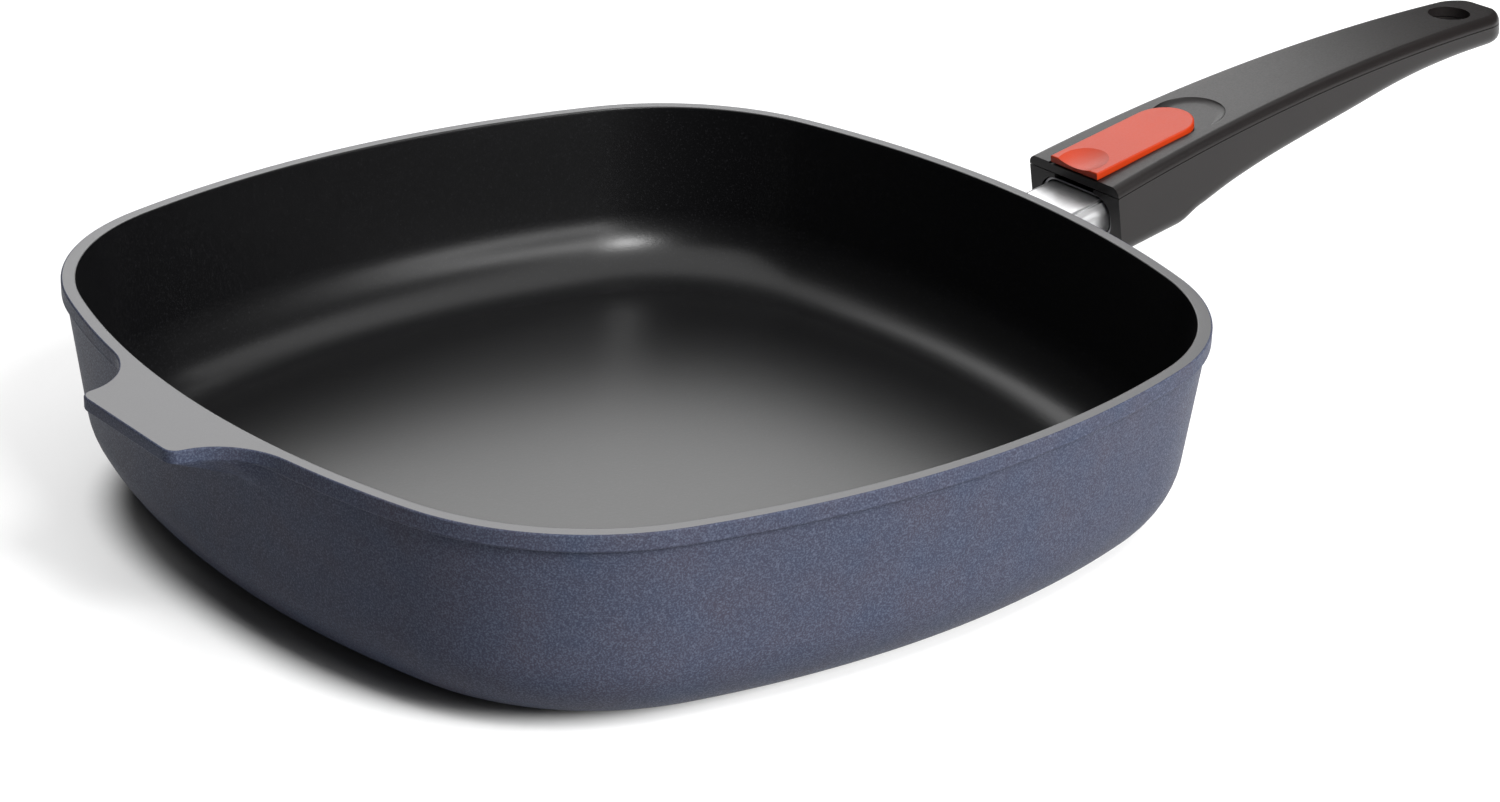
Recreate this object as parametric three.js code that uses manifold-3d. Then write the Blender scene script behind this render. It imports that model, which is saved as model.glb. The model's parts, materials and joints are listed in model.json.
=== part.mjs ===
// A square frying pan of cast aluminium with a detachable handle.
// Millimetres, +Z up. The origin is the middle of the underside, and the handle points along +X.
// The handle is modelled on its own axes: u runs out along the stub, y across it, w up from the stub's middle.

import * as THREE from "three";
import { mergeVertices } from "three/addons/utils/BufferGeometryUtils.js";
import Module from "manifold-3d";

const wasm = await Module();
wasm.setup();

// Fits between pieces
const SEAT_GAP = 0.3; // between pieces that are fixed together
const SLIDE_GAP = 0.3; // between pieces that slide on each other
const CUT_PAST = 2; // how far a cutting tool runs past the face it opens

// Pan: plan
const OPENING_WIDTH = 280; // inside width at the rim, from side to side
const RIM_WIDTH = 4;
const SIDE_BOW_RADIUS = 298; // the sides are arcs of this radius in plan
const CORNER_RADIUS = 71; // outside corner radius at the rim
const CORNER_EASE = 0.4; // corner radius lost for each millimetre that the outline shrinks
const PLAN_STEPS = 80; // steps around the pan

// Pan: section
const PAN_HEIGHT = 61;
const FLOOR_THICKNESS = 8;
const WALL_LEAN = 0.116; // the wall leans out this much for each millimetre of height
const RIM_BAND_HEIGHT = 5; // the rim is a band that stands proud of the wall
const RIM_BAND_PROUD = 1.2;
const RIM_EDGE = 0.5;
const OUTER_FILLET = 25;
const INNER_FILLET = 22;
const FILLET_STEPS = 6;

// Grip tab, cast on the side opposite the handle
const TAB_REACH = 18; // past the rim
const TAB_WIDTH = 47;
const TAB_ROOT_WIDTH = 86;
const TAB_GUSSET_WIDTH = 50; // where the underside meets the wall
const TAB_FLARE = 0.28; // how far out the flanks swing, as a share of the reach
const TAB_CORNER = 5;
const TAB_EDGE_THICKNESS = 3.5;
const TAB_GUSSET_DROP = 9; // the underside slopes back to the wall over this height
const TAB_ROOT_DEPTH = 3; // how far the root sinks into the wall

// Where the handle's own axes stand
const HANDLE_TILT = THREE.MathUtils.degToRad(10.3);
const HANDLE_STANDOFF = 25.5; // from the rim to the handle's front edge
const HANDLE_DROP = 0.5; // the front edge lies this far under the rim

// Handle stub: a hollow casting fixed to the pan
const STUB_WIDTH = 28;
const STUB_HEIGHT = 12;
const STUB_CORNER = 5;
const STUB_WALL = 2;
const STUB_INSERTION = 34; // length inside the handle
const STUB_VISIBLE = 17.5; // length between the handle and the boss
const STUB_BULKHEAD = 4; // solid end that the screw clamps
const STUB_GROOVE_WIDTH = 1.2; // a shadow groove along each upper edge
const STUB_GROOVE_DEPTH = 0.7;
const STUB_GROOVE_INSET = 3; // from the side of the stub
const LATCH_SLOT_LENGTH = 7;
const LATCH_SLOT_WIDTH = 11;
const LATCH_SLOT_FROM_END = 4;

// Boss on the pan wall, with a pocket that keeps the stub from turning
const BOSS_MARGIN = 2.2; // wider than the stub on every side
const BOSS_POCKET = 1.5;
const BOSS_ROOT = 26; // runs back through the wall, where the bowl trims it

// Screw that clamps the stub
const STUB_SCREW_RADIUS = 2.5;
const STUB_SCREW_HEAD_RADIUS = 3.4;
const STUB_SCREW_HEAD = 2.8;
const STUB_SCREW_REACH = 7; // past the stub into the boss
const STUB_WASHER_RADIUS = 3.6;
const STUB_WASHER_THICKNESS = 1;
const SCREW_SOCKET_RADIUS = 0.62; // hexagon socket, as a share of the head's radius
const SCREW_SOCKET_DEPTH = 0.55; // as a share of the head's height

// Handle shell: outline
const HANDLE_LENGTH = 190;
const HANDLE_TOP = 12.5; // top of the front edge above the stub's middle
const TOP_APEX_AT = 35; // the top is an arc, highest here
const TOP_ARC_RADIUS = 868;
const FRONT_HALF_WIDTH = 19.8;
const END_HALF_WIDTH = 12;
const END_CORNER = 11;
const TOP_EDGE_RADIUS = 3;
const BOTTOM_EDGE_RADIUS = 5;
const SEAM_DEPTH = 3.4; // the joint between the shells shows this far under the top
const TONGUE_DEPTH = 6; // between the lower shell's walls, the upper shell reaches this far down
const TONGUE_END = 156;
const SHELL_WALL = 3.4; // walls of the lower shell beside the tongue
const CORNER_STEPS = 4;

// Underside of the handle: a deep housing, then a step up to the grip's stations (u, w)
const HOUSING_FRONT_UNDERSIDE = -11.4;
const HOUSING_REAR_UNDERSIDE = -12.3;
const HOUSING_LENGTH = 27;
const GRIP_UNDERSIDE = [
  [38, -10],
  [52, -7.9],
  [73, -6.4],
  [109, -5.7],
  [134, -5.3],
  [160, -6.7],
  [180, -9.3],
  [HANDLE_LENGTH, -10.8],
];

// Hanging hole
const HANG_HOLE_RADIUS = 7;
const HANG_HOLE_FROM_END = 19;

// Socket sleeve of folded steel, which takes the stub
const SLEEVE_THICKNESS = 0.8;
const SLEEVE_SETBACK = 0.8; // behind the handle's front face

// Release slider
const SLIDER_WIDTH = 20.6;
const SLIDER_LENGTH = 48;
const SLIDER_THICKNESS = 2.5;
const SLIDER_EDGE = 0.5;
const SLIDER_TRAVEL = 8;
const SLIDER_SETBACK = 0.4;
const DECK_LEVEL = 11.9; // floor of the channel that the slider runs in
const CHANNEL_SIDE_GAP = 0.5;
const THUMB_DISH_RADIUS = 8;
const THUMB_DISH_DEPTH = 1.1;
const THUMB_DISH_AT = 4.5;
const SCOOP_RADIUS = 13.5; // dish behind the slider, which its travel needs
const SCOOP_AT = 46.5;

// Slider carriage under the deck, carried on two posts of the slider
const POST_RADIUS = 2.5;
const POST_AT = 40.5;
const POST_SPREAD = 5; // each side of the middle
const CARRIAGE_FROM = 36;
const CARRIAGE_LENGTH = 12;
const CARRIAGE_WIDTH = 16;
const CARRIAGE_UNDERSIDE = 4.3;
const CARRIAGE_EDGE = 0.4;
const PRESSER_WIDTH = 7; // nose that presses the latch down
const PRESSER_LENGTH = 5;
const CARRIAGE_SCREW_RADIUS = 1.1;
const CARRIAGE_SCREW_HEAD_RADIUS = 1.9;
const CARRIAGE_SCREW_HEAD = 1.2;
const CARRIAGE_SCREW_BITE = 3; // into the post

// Latch: a strip of spring steel with a tooth
const LATCH_THICKNESS = 0.8;
const LATCH_WIDTH = 9;
const LATCH_TIP_AT = 22; // front end
const LATCH_TOOTH_RISE = 5.9; // top of the tooth above the stub's middle
const LATCH_TOOTH_LENGTH = 2.4; // flat top of the tooth
const LATCH_RAMP_AT = 48.5;
const LATCH_RAMP_LENGTH = 5;
const LATCH_STEP = 2.2; // the rear of the strip lies this much higher
const LATCH_END_AT = 88;
const LATCH_SCREWS_AT = [78, 84.5];
const LATCH_SCREW_RADIUS = 1.2;
const LATCH_SCREW_HEAD_RADIUS = 2.1;
const LATCH_SCREW_HEAD = 1.3;
const LATCH_SCREW_BITE = 3.4;

// Return spring and the pin that guides it
const SPRING_WIRE_RADIUS = 0.3;
const SPRING_COIL_RADIUS = 1.4;
const SPRING_LEVEL = 5.5;
const SPRING_CURLS = 12;
const SPRING_CURL_STEPS = 8;
const SPRING_WIRE_SIDES = 5;
const PIN_RADIUS = 0.7;
const PIN_FRONT_AT = 45;
const PIN_GRIP = 4; // length held in the bulkhead
const PIN_SIDES = 12;

// Chambers between the shells
const CHAMBER_HALF_WIDTH = 8.6;
const CHAMBER_FLOOR = -2.4;
const SPRING_WALL_AT = 69; // bulkhead under the upper shell, which the spring pushes on
const SPRING_WALL_THICKNESS = 5;
const SPRING_WALL_HALF_WIDTH = 5;
const LATCH_HEADROOM = 0.7; // over the strip, where it passes under the bulkhead
const LATCH_POCKET_END = 90;
const CORE_FROM = 98;
const CORE_TO = 126;
const CORE_HALF_WIDTH = 8;
const CORE_FLOOR = 3; // material left under the core

// Screws that join the two shells, driven from below
const SHELL_SCREWS = {
  handle_screw_front_left: { at: 83.3, side: 8 },
  handle_screw_front_right: { at: 83.3, side: -8 },
  handle_screw_rear: { at: 143.7, side: 0 },
};
const SHELL_SCREW_RADIUS = 1.5;
const SHELL_SCREW_HEAD_RADIUS = 2.5;
const SHELL_SCREW_HEAD = 2;
const SHELL_SCREW_BITE = 3.4; // into the upper shell
const SHELL_SCREW_CLAMP = 3; // material under the tongue that the head clamps
const ROUND_SIDES = 20;

// Places that follow from the sizes above
const RIM_HALF = OPENING_WIDTH / 2 + RIM_WIDTH;
const STUB_TOP = STUB_HEIGHT / 2;
const STUB_END = STUB_INSERTION;
const STUB_START = -STUB_VISIBLE;
const SLEEVE_END = STUB_END;
const SLEEVE_WIDTH = STUB_WIDTH + 2 * (SLIDE_GAP + SLEEVE_THICKNESS);
const SLEEVE_HEIGHT = STUB_HEIGHT + 2 * (SLIDE_GAP + SLEEVE_THICKNESS);
const SLEEVE_CORNER = STUB_CORNER + SLIDE_GAP + SLEEVE_THICKNESS;
const SLIDER_UNDERSIDE = DECK_LEVEL + SLIDE_GAP;
const DECK_UNDERSIDE = SLEEVE_HEIGHT / 2 + SEAT_GAP;
const CARRIAGE_TOP = DECK_UNDERSIDE - SLIDE_GAP;
const CARRIAGE_END = CARRIAGE_FROM + CARRIAGE_LENGTH;
const LATCH_REAR_LEVEL = LATCH_STEP;
const LATCH_LEDGE = LATCH_REAR_LEVEL - LATCH_THICKNESS / 2 - SEAT_GAP;
const SPRING_WALL_END = SPRING_WALL_AT + SPRING_WALL_THICKNESS;
const PIN_END = SPRING_WALL_AT + PIN_GRIP;
const CHANNEL_WIDTH = SLIDER_WIDTH + 2 * CHANNEL_SIDE_GAP;
const HANDLE_ORIGIN = new THREE.Vector3(
  RIM_HALF + HANDLE_STANDOFF + HANDLE_TOP * Math.sin(HANDLE_TILT),
  0,
  PAN_HEIGHT - HANDLE_DROP - HANDLE_TOP * Math.cos(HANDLE_TILT),
);
const HANDLE_FRAME = new THREE.Matrix4()
  .makeRotationY(-HANDLE_TILT)
  .setPosition(HANDLE_ORIGIN);

// Materials
const material = (color, roughness, metalness) =>
  new THREE.MeshStandardMaterial({ color, roughness, metalness });
const CAST_BLUE = material(0x4a5163, 0.55, 0.3);
const BRIGHT_METAL = material(0xd8d9da, 0.25, 1);
const STEEL = material(0xa9abad, 0.35, 1);
const BLACK_PLASTIC = material(0x2b2a2b, 0.5, 0);
const RED_PLASTIC = material(0xd9452f, 0.42, 0);
const DARK_PLASTIC = material(0x1c1c1d, 0.6, 0);

// Solids

// A closed three.js geometry as a solid that can be joined and cut
function solid(geometry) {
  const bare = geometry.clone();
  for (const name of Object.keys(bare.attributes)) {
    if (name !== "position") bare.deleteAttribute(name);
  }
  const merged = mergeVertices(bare, 1e-4);
  const triangles = new Uint32Array(merged.index.array);
  const make = () =>
    new wasm.Manifold(
      new wasm.Mesh({
        numProp: 3,
        vertProperties: new Float32Array(merged.attributes.position.array),
        triVerts: triangles,
      }),
    );
  const made = make();
  if (made.volume() >= 0) return made;
  for (let i = 0; i < triangles.length; i += 3) {
    [triangles[i + 1], triangles[i + 2]] = [triangles[i + 2], triangles[i + 1]];
  }
  return make();
}

function geometryOf(made) {
  const mesh = made.getMesh();
  return new THREE.BufferGeometry()
    .setAttribute("position", new THREE.BufferAttribute(mesh.vertProperties, 3))
    .setIndex(new THREE.BufferAttribute(mesh.triVerts, 1));
}

const cut = (body, ...tools) => tools.reduce((left, tool) => left.subtract(tool), body);
const join = (body, ...others) => others.reduce((sum, other) => sum.add(other), body);

// A skin over rings of points, each with the same count, closed by a flat cap at both ends
function loft(drawn) {
  const flat = drawn[0].map((p) => new THREE.Vector2(p.y, p.z));
  const clockwise = THREE.ShapeUtils.isClockWise(flat);
  if (clockwise) flat.reverse();
  const rings = clockwise ? drawn.map((ring) => [...ring].reverse()) : drawn;
  const count = flat.length;
  const points = rings.flat().flatMap((p) => [p.x, p.y, p.z]);
  const faces = [];
  for (let r = 0; r + 1 < rings.length; r++) {
    for (let i = 0; i < count; i++) {
      const a = r * count + i;
      const b = r * count + ((i + 1) % count);
      faces.push(a, b, b + count, a, b + count, a + count);
    }
  }
  const last = (rings.length - 1) * count;
  for (const [a, b, c] of THREE.ShapeUtils.triangulateShape(flat, [])) {
    faces.push(b, a, c, last + a, last + b, last + c);
  }
  return solid(
    new THREE.BufferGeometry()
      .setAttribute("position", new THREE.Float32BufferAttribute(points, 3))
      .setIndex(faces),
  );
}

// A rectangle with rounded corners, centred on (0, middle)
function roundedRectangle(width, height, corner, middle = 0) {
  const [x, y] = [width / 2, height / 2];
  const shape = new THREE.Shape();
  shape.absarc(x - corner, middle + y - corner, corner, 0, Math.PI / 2);
  shape.absarc(-x + corner, middle + y - corner, corner, Math.PI / 2, Math.PI);
  shape.absarc(-x + corner, middle - y + corner, corner, Math.PI, 1.5 * Math.PI);
  shape.absarc(x - corner, middle - y + corner, corner, 1.5 * Math.PI, 2 * Math.PI);
  shape.closePath();
  return shape;
}

const extrude = (shape, depth, bevel = 0) =>
  new THREE.ExtrudeGeometry(shape, {
    depth: depth - 2 * bevel,
    curveSegments: CORNER_STEPS,
    bevelEnabled: bevel > 0,
    bevelThickness: bevel,
    bevelSize: bevel,
    bevelOffset: -bevel,
    bevelSegments: 1,
  }).translate(0, 0, bevel);

// A section across the handle (y across, w up) carried along u
const along = (shape, from, to, bevel = 0) =>
  solid(
    extrude(shape, to - from, bevel)
      .rotateX(Math.PI / 2)
      .rotateZ(Math.PI / 2)
      .translate(from, 0, 0),
  );

// A plan outline (u, y) carried up w
const upward = (shape, from, to, bevel = 0) =>
  solid(extrude(shape, to - from, bevel).translate(0, 0, from));

// A side view (u, w) carried across the handle, centred on its middle
const across = (shape, width) =>
  solid(
    extrude(shape, width)
      .rotateX(Math.PI / 2)
      .translate(0, width / 2, 0),
  );

// A box between two corners
function box(low, high) {
  const [a, b] = [new THREE.Vector3(...low), new THREE.Vector3(...high)];
  const size = b.clone().sub(a);
  const middle = a.add(b).multiplyScalar(0.5);
  return solid(new THREE.BoxGeometry(size.x, size.y, size.z).translate(middle.x, middle.y, middle.z));
}

// A round post along w, and one along u
const post = (radius, at, side, from, to, sides = ROUND_SIDES) =>
  solid(
    new THREE.CylinderGeometry(radius, radius, to - from, sides)
      .rotateX(Math.PI / 2)
      .translate(at, side, (from + to) / 2),
  );
const rod = (radius, from, to, level, sides = ROUND_SIDES) =>
  solid(
    new THREE.CylinderGeometry(radius, radius, to - from, sides)
      .rotateZ(Math.PI / 2)
      .translate((from + to) / 2, 0, level),
  );

// A dish of the given radius and depth under a level, cut by a large ball
function dish(radius, depth, at, level) {
  const ball = (radius * radius + depth * depth) / (2 * depth);
  return solid(
    new THREE.SphereGeometry(ball, 32, 40)
      .rotateX(Math.PI / 2)
      .translate(at, 0, level - depth + ball),
  );
}

// A screw whose head lies at the low end: it points along +w from the underside of its head
function screw(radius, length, headRadius, head, at, side, from) {
  const overlap = (head * (1 - SCREW_SOCKET_DEPTH)) / 2;
  const shank = post(radius, at, side, from - overlap, from + length);
  const cap = post(headRadius, at, side, from - head, from);
  const drive = post(
    headRadius * SCREW_SOCKET_RADIUS,
    at,
    side,
    from - head - CUT_PAST,
    from - head + head * SCREW_SOCKET_DEPTH,
    6,
  );
  return cut(join(shank, cap), drive);
}

// Pan

// Distance from the middle to the pan's outline at an angle, for an outline that is half wide at its sides
function planRadius(angle, half) {
  const smallest = baseHalf();
  if (half < smallest) return (planRadius(angle, smallest) * half) / smallest;
  const shrink = RIM_HALF - half;
  const bow = SIDE_BOW_RADIUS - shrink;
  const corner = CORNER_RADIUS - CORNER_EASE * shrink;
  const quarter = Math.PI / 2;
  const turned = Math.abs(((angle % quarter) + quarter) % quarter);
  const folded = Math.min(turned, quarter - turned);
  const bowCentre = half - bow;
  const cornerCentre =
    (bowCentre + Math.sqrt(bowCentre * bowCentre - 2 * (bowCentre * bowCentre - (bow - corner) ** 2))) / 2;
  const tangent = Math.atan2(cornerCentre, cornerCentre - bowCentre);
  const meets = Math.atan2(bow * Math.sin(tangent), bowCentre + bow * Math.cos(tangent));
  if (folded < meets) {
    return bowCentre * Math.cos(folded) + Math.sqrt(bow * bow - (bowCentre * Math.sin(folded)) ** 2);
  }
  const away = Math.PI / 4 - folded;
  const reach = cornerCentre * Math.SQRT2;
  return reach * Math.cos(away) + Math.sqrt(corner * corner - (reach * Math.sin(away)) ** 2);
}

// Half width of the outer wall at a height, if it ran straight
const wallHalf = (z) =>
  RIM_HALF - RIM_BAND_PROUD - WALL_LEAN * (PAN_HEIGHT - RIM_BAND_HEIGHT - z);

// Half width of the flat underside
function baseHalf() {
  return wallHalf(OUTER_FILLET) - OUTER_FILLET;
}

// Half width of the bowl at a height, if its wall ran straight from the rim
const bowlHalf = (z) => RIM_HALF - RIM_WIDTH - WALL_LEAN * (PAN_HEIGHT - z);

// A quarter of a round from the flat bottom to the wall
function fillet(half, bottom, radius) {
  const points = [];
  for (let i = 0; i <= FILLET_STEPS; i++) {
    const turn = ((i / FILLET_STEPS) * Math.PI) / 2;
    points.push(
      new THREE.Vector2(
        half - radius + radius * Math.sin(turn),
        bottom + radius - radius * Math.cos(turn),
      ),
    );
  }
  return points;
}

// A round turned from a profile, with its plan drawn out to the pan's outline
function squareTurned(profile) {
  const turned = new THREE.LatheGeometry(profile, PLAN_STEPS).rotateX(Math.PI / 2);
  const places = turned.attributes.position;
  for (let i = 0; i < places.count; i++) {
    const [x, y] = [places.getX(i), places.getY(i)];
    const half = Math.hypot(x, y);
    const angle = Math.atan2(y, x);
    const radius = half > 0 ? planRadius(angle, half) : 0;
    places.setXY(i, radius * Math.cos(angle), radius * Math.sin(angle));
  }
  return solid(turned);
}

function bowl() {
  const profile = [
    new THREE.Vector2(0, FLOOR_THICKNESS),
    ...fillet(bowlHalf(FLOOR_THICKNESS + INNER_FILLET), FLOOR_THICKNESS, INNER_FILLET),
    new THREE.Vector2(bowlHalf(PAN_HEIGHT), PAN_HEIGHT),
    new THREE.Vector2(bowlHalf(PAN_HEIGHT), PAN_HEIGHT + CUT_PAST),
    new THREE.Vector2(0, PAN_HEIGHT + CUT_PAST),
  ];
  return squareTurned(profile);
}

function castBlank() {
  const bandBottom = PAN_HEIGHT - RIM_BAND_HEIGHT;
  const profile = [
    new THREE.Vector2(0, 0),
    ...fillet(wallHalf(OUTER_FILLET), 0, OUTER_FILLET),
    new THREE.Vector2(wallHalf(bandBottom), bandBottom),
    new THREE.Vector2(RIM_HALF, bandBottom + RIM_BAND_PROUD),
    new THREE.Vector2(RIM_HALF, PAN_HEIGHT - RIM_EDGE),
    new THREE.Vector2(RIM_HALF - RIM_EDGE, PAN_HEIGHT),
    new THREE.Vector2(0, PAN_HEIGHT),
  ];
  return squareTurned(profile);
}

// Plan outline of the grip tab, for a reach past the rim and a width at the root
function tabOutline(reach, rootWidth) {
  const tip = -(RIM_HALF + reach);
  const wide = rootWidth / 2;
  const narrow = Math.min(TAB_WIDTH, rootWidth - TAB_CORNER) / 2;
  const edge = -RIM_HALF + (wide * wide) / (2 * SIDE_BOW_RADIUS);
  const corner = Math.min(TAB_CORNER, reach / 2);
  const swing = -RIM_HALF - reach * TAB_FLARE;
  const between = (wide + narrow) / 2;
  const near = narrow + corner / 3;
  const shape = new THREE.Shape();
  shape.moveTo(edge + TAB_ROOT_DEPTH, -wide);
  shape.lineTo(edge, -wide);
  shape.bezierCurveTo(-RIM_HALF, -between, swing, -near, tip + corner, -narrow);
  shape.quadraticCurveTo(tip, -narrow, tip, -narrow + corner);
  shape.lineTo(tip, narrow - corner);
  shape.quadraticCurveTo(tip, narrow, tip + corner, narrow);
  shape.bezierCurveTo(swing, near, -RIM_HALF, between, edge, wide);
  shape.lineTo(edge + TAB_ROOT_DEPTH, wide);
  return shape.getPoints(CORNER_STEPS * 2);
}

// The tab has a flat top level with the rim, an upright edge and an underside that slopes back into the wall
function gripTab() {
  const edgeFoot = PAN_HEIGHT - TAB_EDGE_THICKNESS;
  const gussetFoot = edgeFoot - TAB_GUSSET_DROP;
  const sink = RIM_HALF - wallHalf(gussetFoot) + TAB_CORNER + 1;
  const levels = [
    { z: PAN_HEIGHT, reach: TAB_REACH - RIM_EDGE, rootWidth: TAB_ROOT_WIDTH, sink: 0 },
    { z: PAN_HEIGHT - RIM_EDGE, reach: TAB_REACH, rootWidth: TAB_ROOT_WIDTH, sink: 0 },
    { z: edgeFoot, reach: TAB_REACH, rootWidth: TAB_ROOT_WIDTH, sink: 0 },
    { z: gussetFoot, reach: TAB_CORNER, rootWidth: TAB_GUSSET_WIDTH, sink },
  ];
  const rings = levels.map((level) =>
    tabOutline(level.reach, level.rootWidth).map((p) => new THREE.Vector3(level.z, p.x + level.sink, p.y)),
  );
  const upright = new THREE.Matrix4().makeBasis(
    new THREE.Vector3(0, 0, 1),
    new THREE.Vector3(1, 0, 0),
    new THREE.Vector3(0, 1, 0),
  );
  return loft(rings).transform(upright.elements);
}

const stubSection = (margin) =>
  roundedRectangle(STUB_WIDTH + 2 * margin, STUB_HEIGHT + 2 * margin, STUB_CORNER + margin);

function panBody() {
  const face = STUB_START + BOSS_POCKET;
  const boss = cut(
    along(stubSection(BOSS_MARGIN), STUB_START - BOSS_ROOT, face),
    along(stubSection(SEAT_GAP), STUB_START - SEAT_GAP, face + CUT_PAST),
    rod(STUB_SCREW_RADIUS + SEAT_GAP, STUB_START - STUB_SCREW_REACH - SEAT_GAP, face, 0),
  ).transform(HANDLE_FRAME.elements);
  return cut(join(castBlank(), gripTab(), boss), bowl());
}

// Stub and its screw

function handleStub() {
  const hollow = roundedRectangle(
    STUB_WIDTH - 2 * STUB_WALL,
    STUB_HEIGHT - 2 * STUB_WALL,
    Math.max(STUB_CORNER - STUB_WALL, SEAT_GAP),
  );
  const slotEnd = STUB_END - LATCH_SLOT_FROM_END;
  const overCorner = STUB_CORNER - Math.min(STUB_GROOVE_INSET, STUB_CORNER);
  const skin = STUB_TOP - STUB_CORNER + Math.sqrt(STUB_CORNER ** 2 - overCorner ** 2);
  const grooves = [-1, 1].map((side) => {
    const y = side * (STUB_WIDTH / 2 - STUB_GROOVE_INSET);
    const half = STUB_GROOVE_WIDTH / 2;
    return box(
      [STUB_START - CUT_PAST, y - half, skin - STUB_GROOVE_DEPTH],
      [STUB_END + CUT_PAST, y + half, STUB_TOP + CUT_PAST],
    );
  });
  return cut(
    along(stubSection(0), STUB_START, STUB_END),
    along(hollow, STUB_START + STUB_BULKHEAD, STUB_END + CUT_PAST),
    rod(STUB_SCREW_RADIUS + SEAT_GAP, STUB_START - CUT_PAST, STUB_START + STUB_BULKHEAD + CUT_PAST, 0),
    box(
      [slotEnd - LATCH_SLOT_LENGTH, -LATCH_SLOT_WIDTH / 2, 0],
      [slotEnd, LATCH_SLOT_WIDTH / 2, STUB_TOP + CUT_PAST],
    ),
    ...grooves,
  );
}

const WASHER_FACE = STUB_START + STUB_BULKHEAD + SEAT_GAP;
const SCREW_FACE = WASHER_FACE + STUB_WASHER_THICKNESS + SEAT_GAP;

function stubWasher() {
  return cut(
    rod(STUB_WASHER_RADIUS, WASHER_FACE, WASHER_FACE + STUB_WASHER_THICKNESS, 0),
    rod(STUB_SCREW_RADIUS + SEAT_GAP, WASHER_FACE - CUT_PAST, SCREW_FACE, 0),
  );
}

// The stub's screw is driven from the open end of the stub, so it lies along -u
function stubScrew() {
  const length = SCREW_FACE - STUB_START + STUB_SCREW_REACH;
  return screw(STUB_SCREW_RADIUS, length, STUB_SCREW_HEAD_RADIUS, STUB_SCREW_HEAD, 0, 0, 0)
    .rotate([0, -90, 0])
    .translate([SCREW_FACE, 0, 0]);
}

// Handle shells

const topLevel = (u) =>
  HANDLE_TOP + (TOP_APEX_AT ** 2 - (u - TOP_APEX_AT) ** 2) / (2 * TOP_ARC_RADIUS);

const gripCurve = new THREE.SplineCurve(GRIP_UNDERSIDE.map(([u, w]) => new THREE.Vector2(u, w))).getPoints(120);

// Level of the grip's underside at u, read between points of the curve
function gripUnderside(u) {
  const found = gripCurve.findIndex((p) => p.x >= u);
  const next = found < 0 ? gripCurve.length - 1 : Math.max(1, found);
  const [a, b] = [gripCurve[next - 1], gripCurve[next]];
  return a.y + ((b.y - a.y) * (u - a.x)) / (b.x - a.x);
}

function undersideLevel(u) {
  const [gripStart, gripLevel] = GRIP_UNDERSIDE[0];
  if (u >= gripStart) return gripUnderside(u);
  const share = (u - HOUSING_LENGTH) / (gripStart - HOUSING_LENGTH);
  if (share > 0) {
    return HOUSING_REAR_UNDERSIDE + (gripLevel - HOUSING_REAR_UNDERSIDE) * share * share * (3 - 2 * share);
  }
  return HOUSING_FRONT_UNDERSIDE + ((HOUSING_REAR_UNDERSIDE - HOUSING_FRONT_UNDERSIDE) * u) / HOUSING_LENGTH;
}

function halfWidth(u) {
  const tapered = FRONT_HALF_WIDTH + ((END_HALF_WIDTH - FRONT_HALF_WIDTH) * u) / HANDLE_LENGTH;
  const into = u - (HANDLE_LENGTH - END_CORNER);
  if (into <= 0) return tapered;
  return tapered - END_CORNER + Math.sqrt(END_CORNER * END_CORNER - into * into);
}

// How far a rounded edge has fallen away at u, near the handle's end
function endFall(u, radius) {
  const into = Math.max(0, u - (HANDLE_LENGTH - radius));
  return radius - Math.sqrt(radius * radius - into * into);
}

// The outline of a section across the handle at u
function handleSection(u) {
  const half = halfWidth(u);
  const top = topLevel(u) - endFall(u, TOP_EDGE_RADIUS);
  const bottom = undersideLevel(u) + endFall(u, BOTTOM_EDGE_RADIUS);
  const upper = Math.min(TOP_EDGE_RADIUS, half / 2, (top - bottom) / 3);
  const lower = Math.min(BOTTOM_EDGE_RADIUS, half / 2, (top - bottom) / 3);
  const points = [];
  const corner = (y, w, radius, start) => {
    for (let i = 0; i <= CORNER_STEPS; i++) {
      const turn = start + ((i / CORNER_STEPS) * Math.PI) / 2;
      points.push(new THREE.Vector3(u, y + radius * Math.cos(turn), w + radius * Math.sin(turn)));
    }
  };
  corner(half - upper, top - upper, upper, 0);
  corner(-half + upper, top - upper, upper, Math.PI / 2);
  corner(-half + lower, bottom + lower, lower, Math.PI);
  corner(half - lower, bottom + lower, lower, 1.5 * Math.PI);
  return points;
}

function handleBlank() {
  const gripStart = GRIP_UNDERSIDE[0][0];
  const stations = [0, HOUSING_LENGTH / 2];
  for (let i = 0; i <= 4; i++) {
    stations.push(HOUSING_LENGTH + ((gripStart - HOUSING_LENGTH) * i) / 4);
  }
  const straightEnd = HANDLE_LENGTH - END_CORNER;
  for (let i = 1; i <= 14; i++) {
    stations.push(gripStart + ((straightEnd - gripStart) * i) / 14);
  }
  for (let i = 1; i <= 5; i++) {
    stations.push(straightEnd + END_CORNER * Math.sin((i / 5) * (Math.PI / 2)));
  }
  return loft(stations.map(handleSection));
}

// Everything from a depth under the handle's top upwards
function underTop(depth) {
  const shape = new THREE.Shape();
  const [start, end, steps] = [-CUT_PAST, HANDLE_LENGTH + CUT_PAST, 24];
  const high = HANDLE_TOP * 3;
  shape.moveTo(start, high);
  for (let i = 0; i <= steps; i++) {
    const u = start + ((end - start) * i) / steps;
    shape.lineTo(u, topLevel(u) - depth);
  }
  shape.lineTo(end, high);
  shape.closePath();
  return across(shape, 4 * FRONT_HALF_WIDTH);
}

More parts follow.
